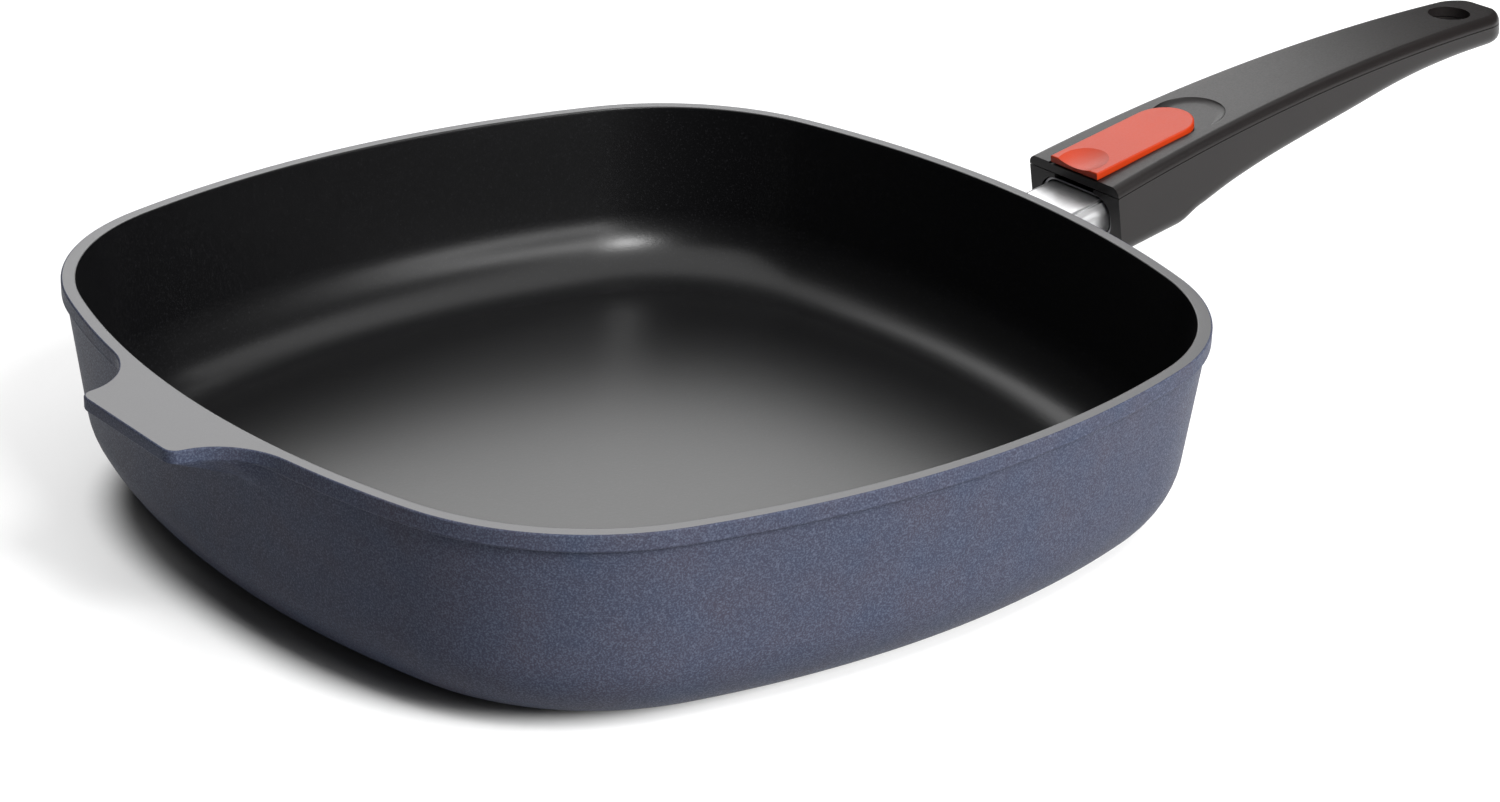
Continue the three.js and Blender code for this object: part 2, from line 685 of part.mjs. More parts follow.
// The upper shell's share of the handle: its top, and a tongue between the lower shell's walls
function upperShare(shift) {
  const end = TONGUE_END + shift;
  const [front, rear] = [0, end].map((u) => halfWidth(u) - SHELL_WALL + shift);
  const plan = new THREE.Shape([
    new THREE.Vector2(-CUT_PAST, -front),
    new THREE.Vector2(end, -rear),
    new THREE.Vector2(end, rear),
    new THREE.Vector2(-CUT_PAST, front),
  ]);
  const tongue = underTop(TONGUE_DEPTH + shift).intersect(upward(plan, -3 * HANDLE_TOP, 3 * HANDLE_TOP));
  return join(underTop(SEAM_DEPTH + shift), tongue);
}

// A slot in plan with a square front and a round rear end
function tongueOutline(from, to, width) {
  const half = width / 2;
  const shape = new THREE.Shape();
  shape.moveTo(from, -half);
  shape.lineTo(to - half, -half);
  shape.absarc(to - half, 0, half, -Math.PI / 2, Math.PI / 2);
  shape.lineTo(from, half);
  shape.closePath();
  return shape;
}

// A straight slot in plan with two round ends
function slotOutline(from, to, side, width) {
  const half = width / 2;
  const shape = new THREE.Shape();
  shape.absarc(to, side, half, -Math.PI / 2, Math.PI / 2);
  shape.absarc(from, side, half, Math.PI / 2, 1.5 * Math.PI);
  shape.closePath();
  return shape;
}

// The hanging hole runs straight down when the pan stands level
function hangingHole() {
  const at = HANDLE_LENGTH - HANG_HOLE_FROM_END;
  const length = 6 * HANDLE_TOP;
  return solid(
    new THREE.CylinderGeometry(HANG_HOLE_RADIUS, HANG_HOLE_RADIUS, length, 28)
      .rotateX(Math.PI / 2)
      .rotateY(HANDLE_TILT)
      .translate(at, 0, (topLevel(at) + undersideLevel(at)) / 2),
  );
}

const sleevePocket = () =>
  along(
    roundedRectangle(
      SLEEVE_WIDTH + 2 * SEAT_GAP,
      SLEEVE_HEIGHT + 2 * SEAT_GAP,
      SLEEVE_CORNER + SEAT_GAP,
    ),
    -CUT_PAST,
    SLEEVE_END + 2 * SEAT_GAP,
  );

// Where a shell screw's head sits, under the tongue
const shellScrewSeat = ({ at }) => topLevel(at) - TONGUE_DEPTH - SHELL_SCREW_CLAMP;
const shellScrewLength = SHELL_SCREW_CLAMP + SHELL_SCREW_BITE;

const shellScrewHole = (place) =>
  post(
    SHELL_SCREW_RADIUS + SEAT_GAP,
    place.at,
    place.side,
    shellScrewSeat(place) - CUT_PAST,
    shellScrewSeat(place) + shellScrewLength + SEAT_GAP,
  );

const shellScrewRecess = (place) =>
  post(
    SHELL_SCREW_HEAD_RADIUS + SEAT_GAP,
    place.at,
    place.side,
    undersideLevel(place.at) - 2 * CUT_PAST,
    shellScrewSeat(place),
  );

function handleUpperShell() {
  const channelEnd = SLIDER_SETBACK + SLIDER_LENGTH + SLIDER_TRAVEL + CHANNEL_SIDE_GAP;
  const slots = [-1, 1].map((side) =>
    upward(
      slotOutline(
        POST_AT,
        POST_AT + SLIDER_TRAVEL + SLIDE_GAP,
        side * POST_SPREAD,
        2 * (POST_RADIUS + SLIDE_GAP),
      ),
      0,
      HANDLE_TOP + CUT_PAST,
    ),
  );
  const scoopDepth = topLevel(SCOOP_AT) - DECK_LEVEL;
  const bulkhead = box(
    [SPRING_WALL_AT, -SPRING_WALL_HALF_WIDTH, BULKHEAD_FOOT],
    [SPRING_WALL_END, SPRING_WALL_HALF_WIDTH, DECK_UNDERSIDE],
  );
  const shell = cut(
    handleBlank().intersect(upperShare(-SEAT_GAP / 2)),
    upward(tongueOutline(-CUT_PAST, channelEnd, CHANNEL_WIDTH), DECK_LEVEL, 2 * HANDLE_TOP),
    dish(SCOOP_RADIUS, scoopDepth, SCOOP_AT, topLevel(SCOOP_AT)),
    sleevePocket(),
    box(
      [STUB_END - SEAT_GAP, -CHAMBER_HALF_WIDTH, 0],
      [SPRING_WALL_AT, CHAMBER_HALF_WIDTH, DECK_UNDERSIDE],
    ),
    hangingHole(),
    ...slots,
    ...Object.values(SHELL_SCREWS).map(shellScrewHole),
  );
  return cut(join(shell, bulkhead), pinSeat());
}

const BULKHEAD_FOOT = LATCH_REAR_LEVEL + LATCH_THICKNESS / 2 + LATCH_HEADROOM;

const pinSeat = () =>
  rod(PIN_RADIUS + SEAT_GAP, SPRING_WALL_AT - CUT_PAST, PIN_END + SEAT_GAP, SPRING_LEVEL, PIN_SIDES);

function handleLowerShell() {
  const high = 2 * HANDLE_TOP;
  const latchHalf = LATCH_WIDTH / 2 + SEAT_GAP;
  const chamberEnd = SPRING_WALL_END + SEAT_GAP;
  const coreFloor = undersideLevel(CORE_FROM) + CORE_FLOOR;
  const latchHoles = LATCH_SCREWS_AT.map((at) =>
    post(LATCH_SCREW_RADIUS + SEAT_GAP, at, 0, LATCH_LEDGE - LATCH_SCREW_BITE, high),
  );
  return cut(
    handleBlank().subtract(upperShare(SEAT_GAP / 2)),
    sleevePocket(),
    box([0, -CHAMBER_HALF_WIDTH, CHAMBER_FLOOR], [chamberEnd, CHAMBER_HALF_WIDTH, high]),
    box([chamberEnd - CUT_PAST, -latchHalf, LATCH_LEDGE], [LATCH_POCKET_END, latchHalf, high]),
    box([CORE_FROM, -CORE_HALF_WIDTH, coreFloor], [CORE_TO, CORE_HALF_WIDTH, high]),
    hangingHole(),
    ...latchHoles,
    ...Object.values(SHELL_SCREWS).map(shellScrewHole),
    ...Object.values(SHELL_SCREWS).map(shellScrewRecess),
  );
}

function socketSleeve() {
  const inside = stubSection(SLIDE_GAP);
  const outside = stubSection(SLIDE_GAP + SLEEVE_THICKNESS);
  return cut(
    along(outside, SLEEVE_SETBACK, SLEEVE_END),
    along(inside, SLEEVE_SETBACK - CUT_PAST, SLEEVE_END + CUT_PAST),
  );
}

const shellScrew = (place) =>
  screw(
    SHELL_SCREW_RADIUS,
    shellScrewLength,
    SHELL_SCREW_HEAD_RADIUS,
    SHELL_SCREW_HEAD,
    place.at,
    place.side,
    shellScrewSeat(place) - SEAT_GAP,
  );

// Slider, its carriage and the carriage's screws

function releaseSlider() {
  const [front, rear] = [SLIDER_SETBACK, SLIDER_SETBACK + SLIDER_LENGTH];
  const top = SLIDER_UNDERSIDE + SLIDER_THICKNESS;
  const cap = cut(
    upward(tongueOutline(front, rear, SLIDER_WIDTH), SLIDER_UNDERSIDE, top, SLIDER_EDGE),
    dish(THUMB_DISH_RADIUS, THUMB_DISH_DEPTH, THUMB_DISH_AT, top),
  );
  const legs = [-1, 1].map((side) =>
    post(POST_RADIUS, POST_AT, side * POST_SPREAD, CARRIAGE_TOP + SEAT_GAP, SLIDER_UNDERSIDE + SLIDER_EDGE),
  );
  const holes = [-1, 1].map((side) =>
    post(
      CARRIAGE_SCREW_RADIUS + SEAT_GAP,
      POST_AT,
      side * POST_SPREAD,
      0,
      CARRIAGE_TOP + SEAT_GAP + CARRIAGE_SCREW_BITE + SEAT_GAP,
    ),
  );
  return cut(join(cap, ...legs), ...holes);
}

const CARRIAGE_SCREW_SEAT = CARRIAGE_UNDERSIDE + CARRIAGE_SCREW_HEAD + SEAT_GAP;

function sliderCarriage() {
  const half = CARRIAGE_WIDTH / 2;
  const middle = (CARRIAGE_TOP + CARRIAGE_UNDERSIDE) / 2;
  const plate = along(
    roundedRectangle(2 * half, CARRIAGE_TOP - CARRIAGE_UNDERSIDE, CARRIAGE_EDGE, middle),
    CARRIAGE_FROM,
    CARRIAGE_END,
  );
  const noseFoot = LATCH_THICKNESS / 2 + SLIDE_GAP;
  const nose = box(
    [CARRIAGE_END - PRESSER_LENGTH, -PRESSER_WIDTH / 2, noseFoot],
    [CARRIAGE_END, PRESSER_WIDTH / 2, CARRIAGE_UNDERSIDE + CARRIAGE_EDGE],
  );
  const holes = [-1, 1].flatMap((side) => [
    post(CARRIAGE_SCREW_RADIUS + SEAT_GAP, POST_AT, side * POST_SPREAD, 0, HANDLE_TOP),
    post(CARRIAGE_SCREW_HEAD_RADIUS + SEAT_GAP, POST_AT, side * POST_SPREAD, 0, CARRIAGE_SCREW_SEAT),
  ]);
  const pinHole = rod(
    PIN_RADIUS + SLIDE_GAP,
    CARRIAGE_FROM - CUT_PAST,
    CARRIAGE_END + CUT_PAST,
    SPRING_LEVEL,
    PIN_SIDES,
  );
  return cut(join(plate, nose), pinHole, ...holes);
}

const carriageScrew = (side) =>
  screw(
    CARRIAGE_SCREW_RADIUS,
    CARRIAGE_TOP + SEAT_GAP + CARRIAGE_SCREW_BITE - CARRIAGE_SCREW_SEAT,
    CARRIAGE_SCREW_HEAD_RADIUS,
    CARRIAGE_SCREW_HEAD,
    POST_AT,
    side * POST_SPREAD,
    CARRIAGE_SCREW_SEAT - SEAT_GAP,
  );

// Latch

// Side view of the strip: a tooth with a lead-in slope at the front, then a ramp up to the clamped rear
function latchLeaf() {
  const half = LATCH_THICKNESS / 2;
  const toothEnd = STUB_END - LATCH_SLOT_FROM_END - SLIDE_GAP;
  const toothStart = toothEnd - LATCH_TOOTH_LENGTH;
  const rampEnd = LATCH_RAMP_AT + LATCH_RAMP_LENGTH;
  const rear = LATCH_REAR_LEVEL;
  const shape = new THREE.Shape();
  shape.moveTo(LATCH_TIP_AT, -half);
  shape.lineTo(LATCH_RAMP_AT + half, -half);
  shape.lineTo(rampEnd + half, rear - half);
  shape.lineTo(LATCH_END_AT, rear - half);
  shape.lineTo(LATCH_END_AT, rear + half);
  shape.lineTo(rampEnd, rear + half);
  shape.lineTo(LATCH_RAMP_AT, half);
  shape.lineTo(toothEnd, half);
  shape.lineTo(toothEnd, LATCH_TOOTH_RISE);
  shape.lineTo(toothStart, LATCH_TOOTH_RISE);
  shape.lineTo(LATCH_TIP_AT, half);
  shape.closePath();
  const holes = LATCH_SCREWS_AT.map((at) =>
    post(LATCH_SCREW_RADIUS + SEAT_GAP, at, 0, -CUT_PAST, rear + CUT_PAST),
  );
  return cut(across(shape, LATCH_WIDTH), ...holes);
}

// The latch screws are driven from above, so each is turned over
function latchScrew(at) {
  const seat = LATCH_REAR_LEVEL + LATCH_THICKNESS / 2 + SEAT_GAP;
  const reach = seat - LATCH_LEDGE + LATCH_SCREW_BITE - SEAT_GAP;
  return screw(LATCH_SCREW_RADIUS, reach, LATCH_SCREW_HEAD_RADIUS, LATCH_SCREW_HEAD, at, 0, 0)
    .rotate([180, 0, 0])
    .translate([0, 0, seat]);
}

// Return spring and its pin

// The spring's centreline: a helix round the pin, straight for one wire at both ends
class SpringLine extends THREE.Curve {
  constructor(from, to) {
    super();
    this.from = from;
    this.to = to;
  }
  getPoint(share, target = new THREE.Vector3()) {
    const turn = 2 * Math.PI * SPRING_CURLS * share;
    return target.set(
      this.from + (this.to - this.from) * share,
      SPRING_COIL_RADIUS * Math.cos(turn),
      SPRING_LEVEL + SPRING_COIL_RADIUS * Math.sin(turn),
    );
  }
}

function returnSpring() {
  const inset = SEAT_GAP + SPRING_WIRE_RADIUS;
  const line = new SpringLine(CARRIAGE_END + inset, SPRING_WALL_AT - inset);
  const steps = SPRING_CURLS * SPRING_CURL_STEPS;
  const rings = [];
  for (let i = 0; i <= steps; i++) {
    const middle = line.getPoint(i / steps);
    const out = new THREE.Vector3(0, middle.y, middle.z - SPRING_LEVEL).normalize();
    const forward = line.getTangent(i / steps);
    const side = new THREE.Vector3().crossVectors(forward, out).normalize();
    const ring = [];
    for (let k = 0; k < SPRING_WIRE_SIDES; k++) {
      const turn = (2 * Math.PI * k) / SPRING_WIRE_SIDES;
      ring.push(
        middle
          .clone()
          .addScaledVector(out, SPRING_WIRE_RADIUS * Math.cos(turn))
          .addScaledVector(side, SPRING_WIRE_RADIUS * Math.sin(turn)),
      );
    }
    rings.push(ring);
  }
  reportSpringGap(line, steps);
  return wireSkin(rings);
}

// A skin over the wire's rings, with a fan of faces at each end
function wireSkin(rings) {
  const count = SPRING_WIRE_SIDES;
  const points = rings.flat().flatMap((p) => [p.x, p.y, p.z]);
  const faces = [];
  for (let r = 0; r + 1 < rings.length; r++) {
    for (let k = 0; k < count; k++) {
      const a = r * count + k;
      const b = r * count + ((k + 1) % count);
      faces.push(a, b, b + count, a, b + count, a + count);
    }
  }
  const last = (rings.length - 1) * count;
  for (let k = 1; k + 1 < count; k++) {
    faces.push(0, k + 1, k, last, last + k, last + k + 1);
  }
  return solid(
    new THREE.BufferGeometry()
      .setAttribute("position", new THREE.Float32BufferAttribute(points, 3))
      .setIndex(faces),
  );
}

// The least gap between neighbouring curls, measured on points of the centreline
function reportSpringGap(line, steps) {
  const points = line.getPoints(steps);
  let least = Infinity;
  points.forEach((a, i) => {
    for (let j = i + SPRING_CURL_STEPS / 2; j < points.length; j++) {
      least = Math.min(least, a.distanceTo(points[j]) - 2 * SPRING_WIRE_RADIUS);
    }
  });
  console.log(`return_spring: least gap to itself ${least.toFixed(2)} mm`);
}

const springGuidePin = () => rod(PIN_RADIUS, PIN_FRONT_AT, PIN_END, SPRING_LEVEL, PIN_SIDES);

// Assembly

function piece(name, made, look) {
  const mesh = new THREE.Mesh(geometryOf(made), look);
  mesh.name = name;
  return mesh;
}

const fryingPan = new THREE.Group();
fryingPan.add(piece("pan_body", panBody(), CAST_BLUE));

// Everything along the handle's axis
const handleAxis = new THREE.Group();
handleAxis.position.copy(HANDLE_ORIGIN);
handleAxis.rotation.y = -HANDLE_TILT;
fryingPan.add(handleAxis);

handleAxis.add(
  piece("handle_stub", handleStub(), BRIGHT_METAL),
  piece("stub_washer", stubWasher(), STEEL),
  piece("stub_screw", stubScrew(), STEEL),
  piece("handle_upper_shell", handleUpperShell(), BLACK_PLASTIC),
  piece("handle_lower_shell", handleLowerShell(), BLACK_PLASTIC),
  piece("socket_sleeve", socketSleeve(), STEEL),
  piece("release_slider", releaseSlider(), RED_PLASTIC),
  piece("slider_carriage", sliderCarriage(), DARK_PLASTIC),
  piece("carriage_screw_left", carriageScrew(1), STEEL),
  piece("carriage_screw_right", carriageScrew(-1), STEEL),
  piece("latch_leaf", latchLeaf(), STEEL),
  piece("return_spring", returnSpring(), STEEL),
  piece("spring_guide_pin", springGuidePin(), STEEL),
);
LATCH_SCREWS_AT.forEach((at, i) => {
  handleAxis.add(piece(`latch_screw_${i + 1}`, latchScrew(at), STEEL));
});
for (const [name, place] of Object.entries(SHELL_SCREWS)) {
  handleAxis.add(piece(name, shellScrew(place), STEEL));
}

export default fryingPan;
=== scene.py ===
# Square frying pan with a handle that comes off.
# Drawing sizes are millimetres. The scene is metres, in the frame of the CAD model.

import json
from math import atan2, cos, pi, radians, sin, sqrt

import bmesh
import bpy
import numpy as np
from mathutils import Matrix, Vector

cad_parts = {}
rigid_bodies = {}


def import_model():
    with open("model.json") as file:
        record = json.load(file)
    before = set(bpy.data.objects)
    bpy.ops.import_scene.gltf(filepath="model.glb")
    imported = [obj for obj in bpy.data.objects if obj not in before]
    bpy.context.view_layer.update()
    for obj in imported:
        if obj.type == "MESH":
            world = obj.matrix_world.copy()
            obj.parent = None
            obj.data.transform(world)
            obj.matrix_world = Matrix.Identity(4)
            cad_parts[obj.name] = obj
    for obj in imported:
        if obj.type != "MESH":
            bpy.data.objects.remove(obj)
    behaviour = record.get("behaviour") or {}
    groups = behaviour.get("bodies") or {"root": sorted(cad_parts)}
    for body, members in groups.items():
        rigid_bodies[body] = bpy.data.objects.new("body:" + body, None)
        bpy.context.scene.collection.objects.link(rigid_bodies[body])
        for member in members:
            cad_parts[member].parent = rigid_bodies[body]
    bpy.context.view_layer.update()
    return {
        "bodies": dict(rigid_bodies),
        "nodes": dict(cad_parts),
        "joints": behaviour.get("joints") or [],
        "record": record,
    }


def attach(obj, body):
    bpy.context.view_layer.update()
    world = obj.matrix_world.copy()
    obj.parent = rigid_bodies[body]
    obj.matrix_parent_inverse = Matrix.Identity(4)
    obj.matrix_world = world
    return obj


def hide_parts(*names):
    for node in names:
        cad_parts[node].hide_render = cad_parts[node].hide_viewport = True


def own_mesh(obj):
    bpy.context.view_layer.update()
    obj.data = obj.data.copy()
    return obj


MM = 0.001

# Pan, in plan and in section
RIM_HALF = 144
RIM_WIDTH = 4
SIDE_BOW = 298
CORNER = 71
CORNER_EASE = 0.4
HEIGHT = 61
FLOOR = 8
LEAN = 0.116
BAND_HEIGHT = 5
BAND_PROUD = 1.2
BAND_EDGE = 0.7
RIM_EDGE = 0.5
OUTER_FILLET = 25
INNER_FILLET = 22
WALL_TURN = atan2(LEAN, 1)
TURN_STEP = 0.75  # degrees
TAB_TURN_STEP = 0.25
TAB_HALF_TURN = 17.5

# Grip tab, on the side away from the handle
TAB_REACH = 17.99
TAB_WIDTH = 47
TAB_ROOT_WIDTH = 86
TAB_FLARE = 0.28
TAB_CORNER = 5
TAB_EDGE_FOOT = 57.5
TAB_GUSSET_FOOT = 48.5
TAB_BLEND = 6  # the underside takes over from the wall within this reach
TAB_STEPS = (20, 12, 40)  # along the front, round the corner and along the flank

# Rings of the casting: levels on the walls, and shares of the base, the tab's underside and the floor
BASE_SHARES = (0.02, 0.3, 0.6, 0.97, 0.995)
WALL_LEVELS = (30, 39, TAB_GUSSET_FOOT - 0.5)
UNDER_TAB_SHARES = (0, 0.2, 0.4, 0.6, 0.75, 0.833, 0.84, 0.86, 0.89, 0.93, 0.97)
EDGE_FOOT = ((0.1, TAB_EDGE_FOOT - 0.02), (0, TAB_EDGE_FOOT + 0.3))  # inset and level
BOWL_LEVELS = (HEIGHT - 2 * RIM_EDGE, 50, 38)
FLOOR_SHARES = (0.9, 0.7, 0.45, 0.2, 0.02)
OUTER_STEPS = 14
INNER_STEPS = 16
RIM_STEPS = 5

# Handle axes: u along the handle, v across it, w up from the middle of the stub
TILT = radians(10.3)
HANDLE_AT = (171.735, 0, 48.201)
STUB_WIDTH = 28
STUB_HEIGHT = 12
STUB_CORNER = 5
STUB_START = -17.5
STUB_END = 34
BOSS_MARGIN = 2.2
BOSS_FACE = -16
BOSS_FLARE = 2.5
# Depth under the wall's skin, with the share of the flare
BOSS_ROOT = ((1.2, 1), (0.2, 1), (-0.35, 0.62), (-0.9, 0.3), (-1.7, 0.08), (-2.5, 0))
# Margin and place, counted from BOSS_MARGIN and BOSS_FACE
BOSS_EDGE = ((0, -0.6), (-0.15, -0.2), (-0.5, 0))
SEATING_ROUNDS = 8
SEAT_GAP = 0.3
CUT_PAST = 2  # how far a cutter reaches past what it cuts

# Handle shells
HANDLE_LENGTH = 189.85
HANDLE_TOP = 12.49
APEX_AT = 35
TOP_ARC = 868
FRONT_HALF = 19.8
END_HALF = 12
END_CORNER = 11
TOP_EDGE = 3
BOTTOM_EDGE = 5
TOP_EDGE_SHARE = 0.97  # of the cover's height, the most that its edge takes
BOTTOM_EDGE_SHARE = 0.6
TOP_STEPS = 10
SIDE_STEPS = 4
BOTTOM_STEPS = 8
STATIONS = (7, 9, 44, 14)  # along the housing, its slope, the grip and the rounded end
SEAM_DEPTH = 3.4
SHELL_SOFTNESS = 0.35
OVER_ALL = 2 * HANDLE_TOP
UNDER_ALL = -2 * HANDLE_TOP
HOUSING_FRONT = -11.4
HOUSING_REAR = -12.3
HOUSING_LENGTH = 27
GRIP_UNDERSIDE = [
    (38, -10),
    (52, -7.9),
    (73, -6.4),
    (109, -5.7),
    (134, -5.3),
    (160, -6.7),
    (180, -9.3),
    (190, -10.8),
]
HANG_HOLE = 7
HANG_HOLE_AT = 171
HANG_HOLE_REACH = 40
HANG_HOLE_STEPS = 64
DECK = 11.9
CHANNEL_WIDTH = 21.6
CHANNEL_FRONT = -4
CHANNEL_END = 56.9
SCOOP = 12
SCOOP_AT = 50
SCOOP_FLOOR = 8.8
SCOOP_RISE = 1.35
SCOOP_TURN = radians(70)
SCOOP_STEPS = 14

# Stub and sleeve
STUB_WALL = 2
STUB_BULKHEAD = 4
STUB_EDGE = 0.35
STUB_SOFTNESS = 0.15
GROOVE_WIDTH = 1.2
GROOVE_FLOOR = 4.88
GROOVE_INSET = 3
LATCH_SLOT = ((23, -5.5, 0), (30, 5.5, 8))
STUB_SCREW_HOLE = 2.8
SLEEVE_WALL = 0.8
SLEEVE_FRONT = 0.8
SLEEVE_SOFTNESS = 0.12
SOCKET_FRONT = -3

# Rooms inside the handle, as low and high corners
CHAMBER = ((-3, -8.6, -2.4), (74.3, 8.6, 15))
LATCH_POCKET = ((72.3, -4.8, 1.5), (90, 4.8, 15))
CORE = ((98, -8, -2.8), (126, 8, 15))
BULKHEAD = ((69, -5, 3.3), (74, 5, 10.5))
PIN_LEVEL = 5.5
PIN_SEAT = 1
PIN_SEAT_START = 60
PIN_SEAT_END = 73.3
LATCH_SCREWS_AT = (78, 84.5)
LATCH_SCREW_HOLE = 1.5
LATCH_SCREW_FOOT = -1.9
SHELL_SCREWS = ((83.3, 8), (83.3, -8), (143.7, 0))
SHELL_SCREW_SEAT = 9  # under the top
SHELL_SCREW_TIP = 2.3
SHELL_SCREW_HOLE = 1.8
SHELL_SCREW_RECESS = 2.8
SHELL_SCREW_OVERLAP = 1  # the hole starts this far down in the recess
POST_AT = 40.5
POST_SPREAD = 5
POST_ROOM = 2.8
POST_TRAVEL = 8.3
POST_ROOF = 0.6  # left over the posts, so that the dish behind the slider is smooth

# Spring that pushes the slider back, round its guide pin
COIL_START = 48.6
COIL_END = 68.4
COIL_RADIUS = 1.4
COIL_WIRE = 0.3
COIL_CURLS = 12
COIL_STEPS = 24  # in a curl
COIL_SIDES = 10

# Latch: a spring strip with a tooth, clamped at its rear, that the slider presses down
LATCH_HALF_WIDTH = 4.5
LATCH_THICKNESS = 0.8
LATCH_TIP = 22
LATCH_TOOTH = (27.3, 29.7)
LATCH_TOOTH_TOP = 5.9
LATCH_RAMP = (48.5, 53.5)
LATCH_STEP = 2.2
LATCH_END = 88
LATCH_SOFTNESS = 0.1

# Slider
SLIDER_FRONT = 0.4
SLIDER_REAR = 48.4
SLIDER_WIDTH = 20.6
SLIDER_UNDERSIDE = 12.2
SLIDER_TOP = 14.7
SLIDER_EDGE = 0.5
SLIDER_FOOT_STEPS = 4
SLIDER_TOP_STEPS = 6
THUMB_DISH = 8
THUMB_DISH_DEPTH = 1.4
THUMB_DISH_AT = 4.5
DISH_STEPS = 30
DISH_SPREAD = 1.6  # how far past its edge the dish's ball is drawn
DISH_POLE = 0.05  # the ball's first ring, as a share of a step

# Steps round a circle, a circle that shows, a corner of a section, a round end in plan, and a softened edge
CIRCLE_STEPS = 48
FINE_STEPS = 96
CORNER_STEPS = 8
TONGUE_STEPS = 40
EDGE_STEPS = 3

# Degrees between two faces from which the edge between them stays crisp
CRISP = 30
CASTING_CRISP = 50

# Camera, fitted to the rim in the photograph
CAMERA_TURN = radians(-39.47)
CAMERA_RISE = radians(23.53)
CAMERA_ROLL = radians(1.64)
CAMERA_TARGET = (-23.463, -81.164, 61.0)
CAMERA_DISTANCE = 920.39
CAMERA_LENS = 85.03
FILM_WIDTH = 36

# Studio. The paper's glow paints the pan's shadow: none in the painted shade round the pan's foot, set off
# towards -x, FLOOR_GLOW at the shade's edge, and full far off
PAINTED_SHADE_CENTRE = -25
PAINTED_SHADE_CORE = 107
PAINTED_SHADE_EDGE = 122
FLOOR_GLOW = 0.56
GLOW_END = 1500
FLOOR_REACH = 6000
ROOM_LIGHT = 0.05
AIM = (0, 0, 0.04)  # metres
# Name, place and size in metres, watts, and whether shiny surfaces mirror the lamp
SOFT_BOXES = (
    ("overhead", (0.1, 0.1, 1.7), 2.2, 22, True),
    ("front_right", (0.4, -1.7, 0.95), 0.6, 36, False),
    ("front_right_wide", (0.4, -1.7, 0.95), 1.1, 26, True),
    ("behind", (0.9, 1.5, 1.15), 1.4, 18, True),
    ("front", (-0.1, -0.91, 1.15), 0.3, 12, True),
)

# Finishes of the casting, in the order of its material slots
TURNED_BASE, SPRAYED_COAT, BARE_RIM, BLACK_LINING = range(4)

ALONG = Vector((cos(TILT), 0, sin(TILT)))
ACROSS = Vector((0, 1, 0))
ABOVE = ALONG.cross(ACROSS)
HANDLE_FRAME = Matrix.Translation(Vector(HANDLE_AT)) @ Matrix((ALONG, ACROSS, ABOVE)).transposed().to_4x4()
TO_METRES = Matrix.Scale(MM, 4)


# Making meshes


def skin(bm, rings, finishes=None):
    """Draws a ring through the first ring's points and extrudes it from ring to ring."""
    order = bm.verts.layers.int.get("order") or bm.verts.layers.int.new("order")
    start = bmesh.ops.create_circle(bm, segments=len(rings[0]), radius=1)["verts"]
    for index, vert in enumerate(start):
        vert[order] = index
        vert.co = rings[0][index]
    edges = list(dict.fromkeys(edge for vert in start for edge in vert.link_edges))
    first = edges
    for step, ring in enumerate(rings[1:]):
        made = bmesh.ops.extrude_edge_only(bm, edges=edges)["geom"]
        for part in made:
            if isinstance(part, bmesh.types.BMVert):
                part.co = ring[part[order]]
            elif isinstance(part, bmesh.types.BMFace) and finishes:
                part.material_index = finishes[step]
        edges = [part for part in made if isinstance(part, bmesh.types.BMEdge) and part.is_boundary]
    return first, edges


def close_ends(bm, *ends):
    """Fills each end ring with a face."""
    for edges in ends:
        bmesh.ops.contextual_create(bm, geom=edges)


def close_pole(bm, edges, place):
    """Draws an end ring together into one point."""
    verts = list(dict.fromkeys(vert for edge in edges for vert in edge.verts))
    bmesh.ops.pointmerge(bm, verts=verts, merge_co=place)


def new_piece(name, bm, *materials):
    """Turns a drawing in millimetres into an object in metres."""
    bmesh.ops.recalc_face_normals(bm, faces=bm.faces)
    bm.transform(TO_METRES)
    mesh = bpy.data.meshes.new(name)
    bm.to_mesh(mesh)
    bm.free()
    for material in materials:
        mesh.materials.append(material)
    piece = bpy.data.objects.new(name, mesh)
    bpy.context.scene.collection.objects.link(piece)
    return piece


def solid(name, rings, *materials, frame=HANDLE_FRAME):
    """A closed shape through rings of points, drawn in the handle's axes unless told otherwise."""
    bm = bmesh.new()
    close_ends(bm, *skin(bm, rings))
    bm.transform(frame)
    return new_piece(name, bm, *materials)


def carve(piece, cutter, operation="DIFFERENCE"):
    """Cuts a cutter's shape out of a piece for good, or joins it on, and throws the cutter away."""
    step = piece.modifiers.new("carve", "BOOLEAN")
    step.object = cutter
    step.operation = operation
    step.solver = "EXACT"
    found = bpy.context.evaluated_depsgraph_get()
    shape = bpy.data.meshes.new_from_object(piece.evaluated_get(found))
    piece.modifiers.clear()
    before = piece.data
    piece.data = shape
    bpy.data.meshes.remove(before)
    bpy.data.objects.remove(cutter)
    shape.name = piece.name


def soften(piece, width, crisp=CRISP):
    """Rounds the crisp edges a little and smooths the rest."""
    piece.data.polygons.foreach_set("use_smooth", [True] * len(piece.data.polygons))
    piece.data.set_sharp_from_angle(angle=radians(crisp))
    if width:
        edges = piece.modifiers.new("edges", "BEVEL")
        edges.width = width * MM
        edges.segments = EDGE_STEPS
        edges.limit_method = "ANGLE"
        edges.angle_limit = radians(crisp)
    piece.modifiers.new("shading", "WEIGHTED_NORMAL").keep_sharp = True


def quarter(steps):
    """Angles through a right angle."""
    return [pi / 2 * i / steps for i in range(steps + 1)]


# Finishes


def colour(code):
    """An sRGB hex colour as linear red, green, blue and alpha."""
    parts = [int(code[i : i + 2], 16) / 255 for i in (1, 3, 5)]
    return [c / 12.92 if c <= 0.04045 else ((c + 0.055) / 1.055) ** 2.4 for c in parts] + [1]


def repeats(size):
    """The texture scale that makes a pattern repeat about every so many millimetres."""
    return 1 / (size * MM)


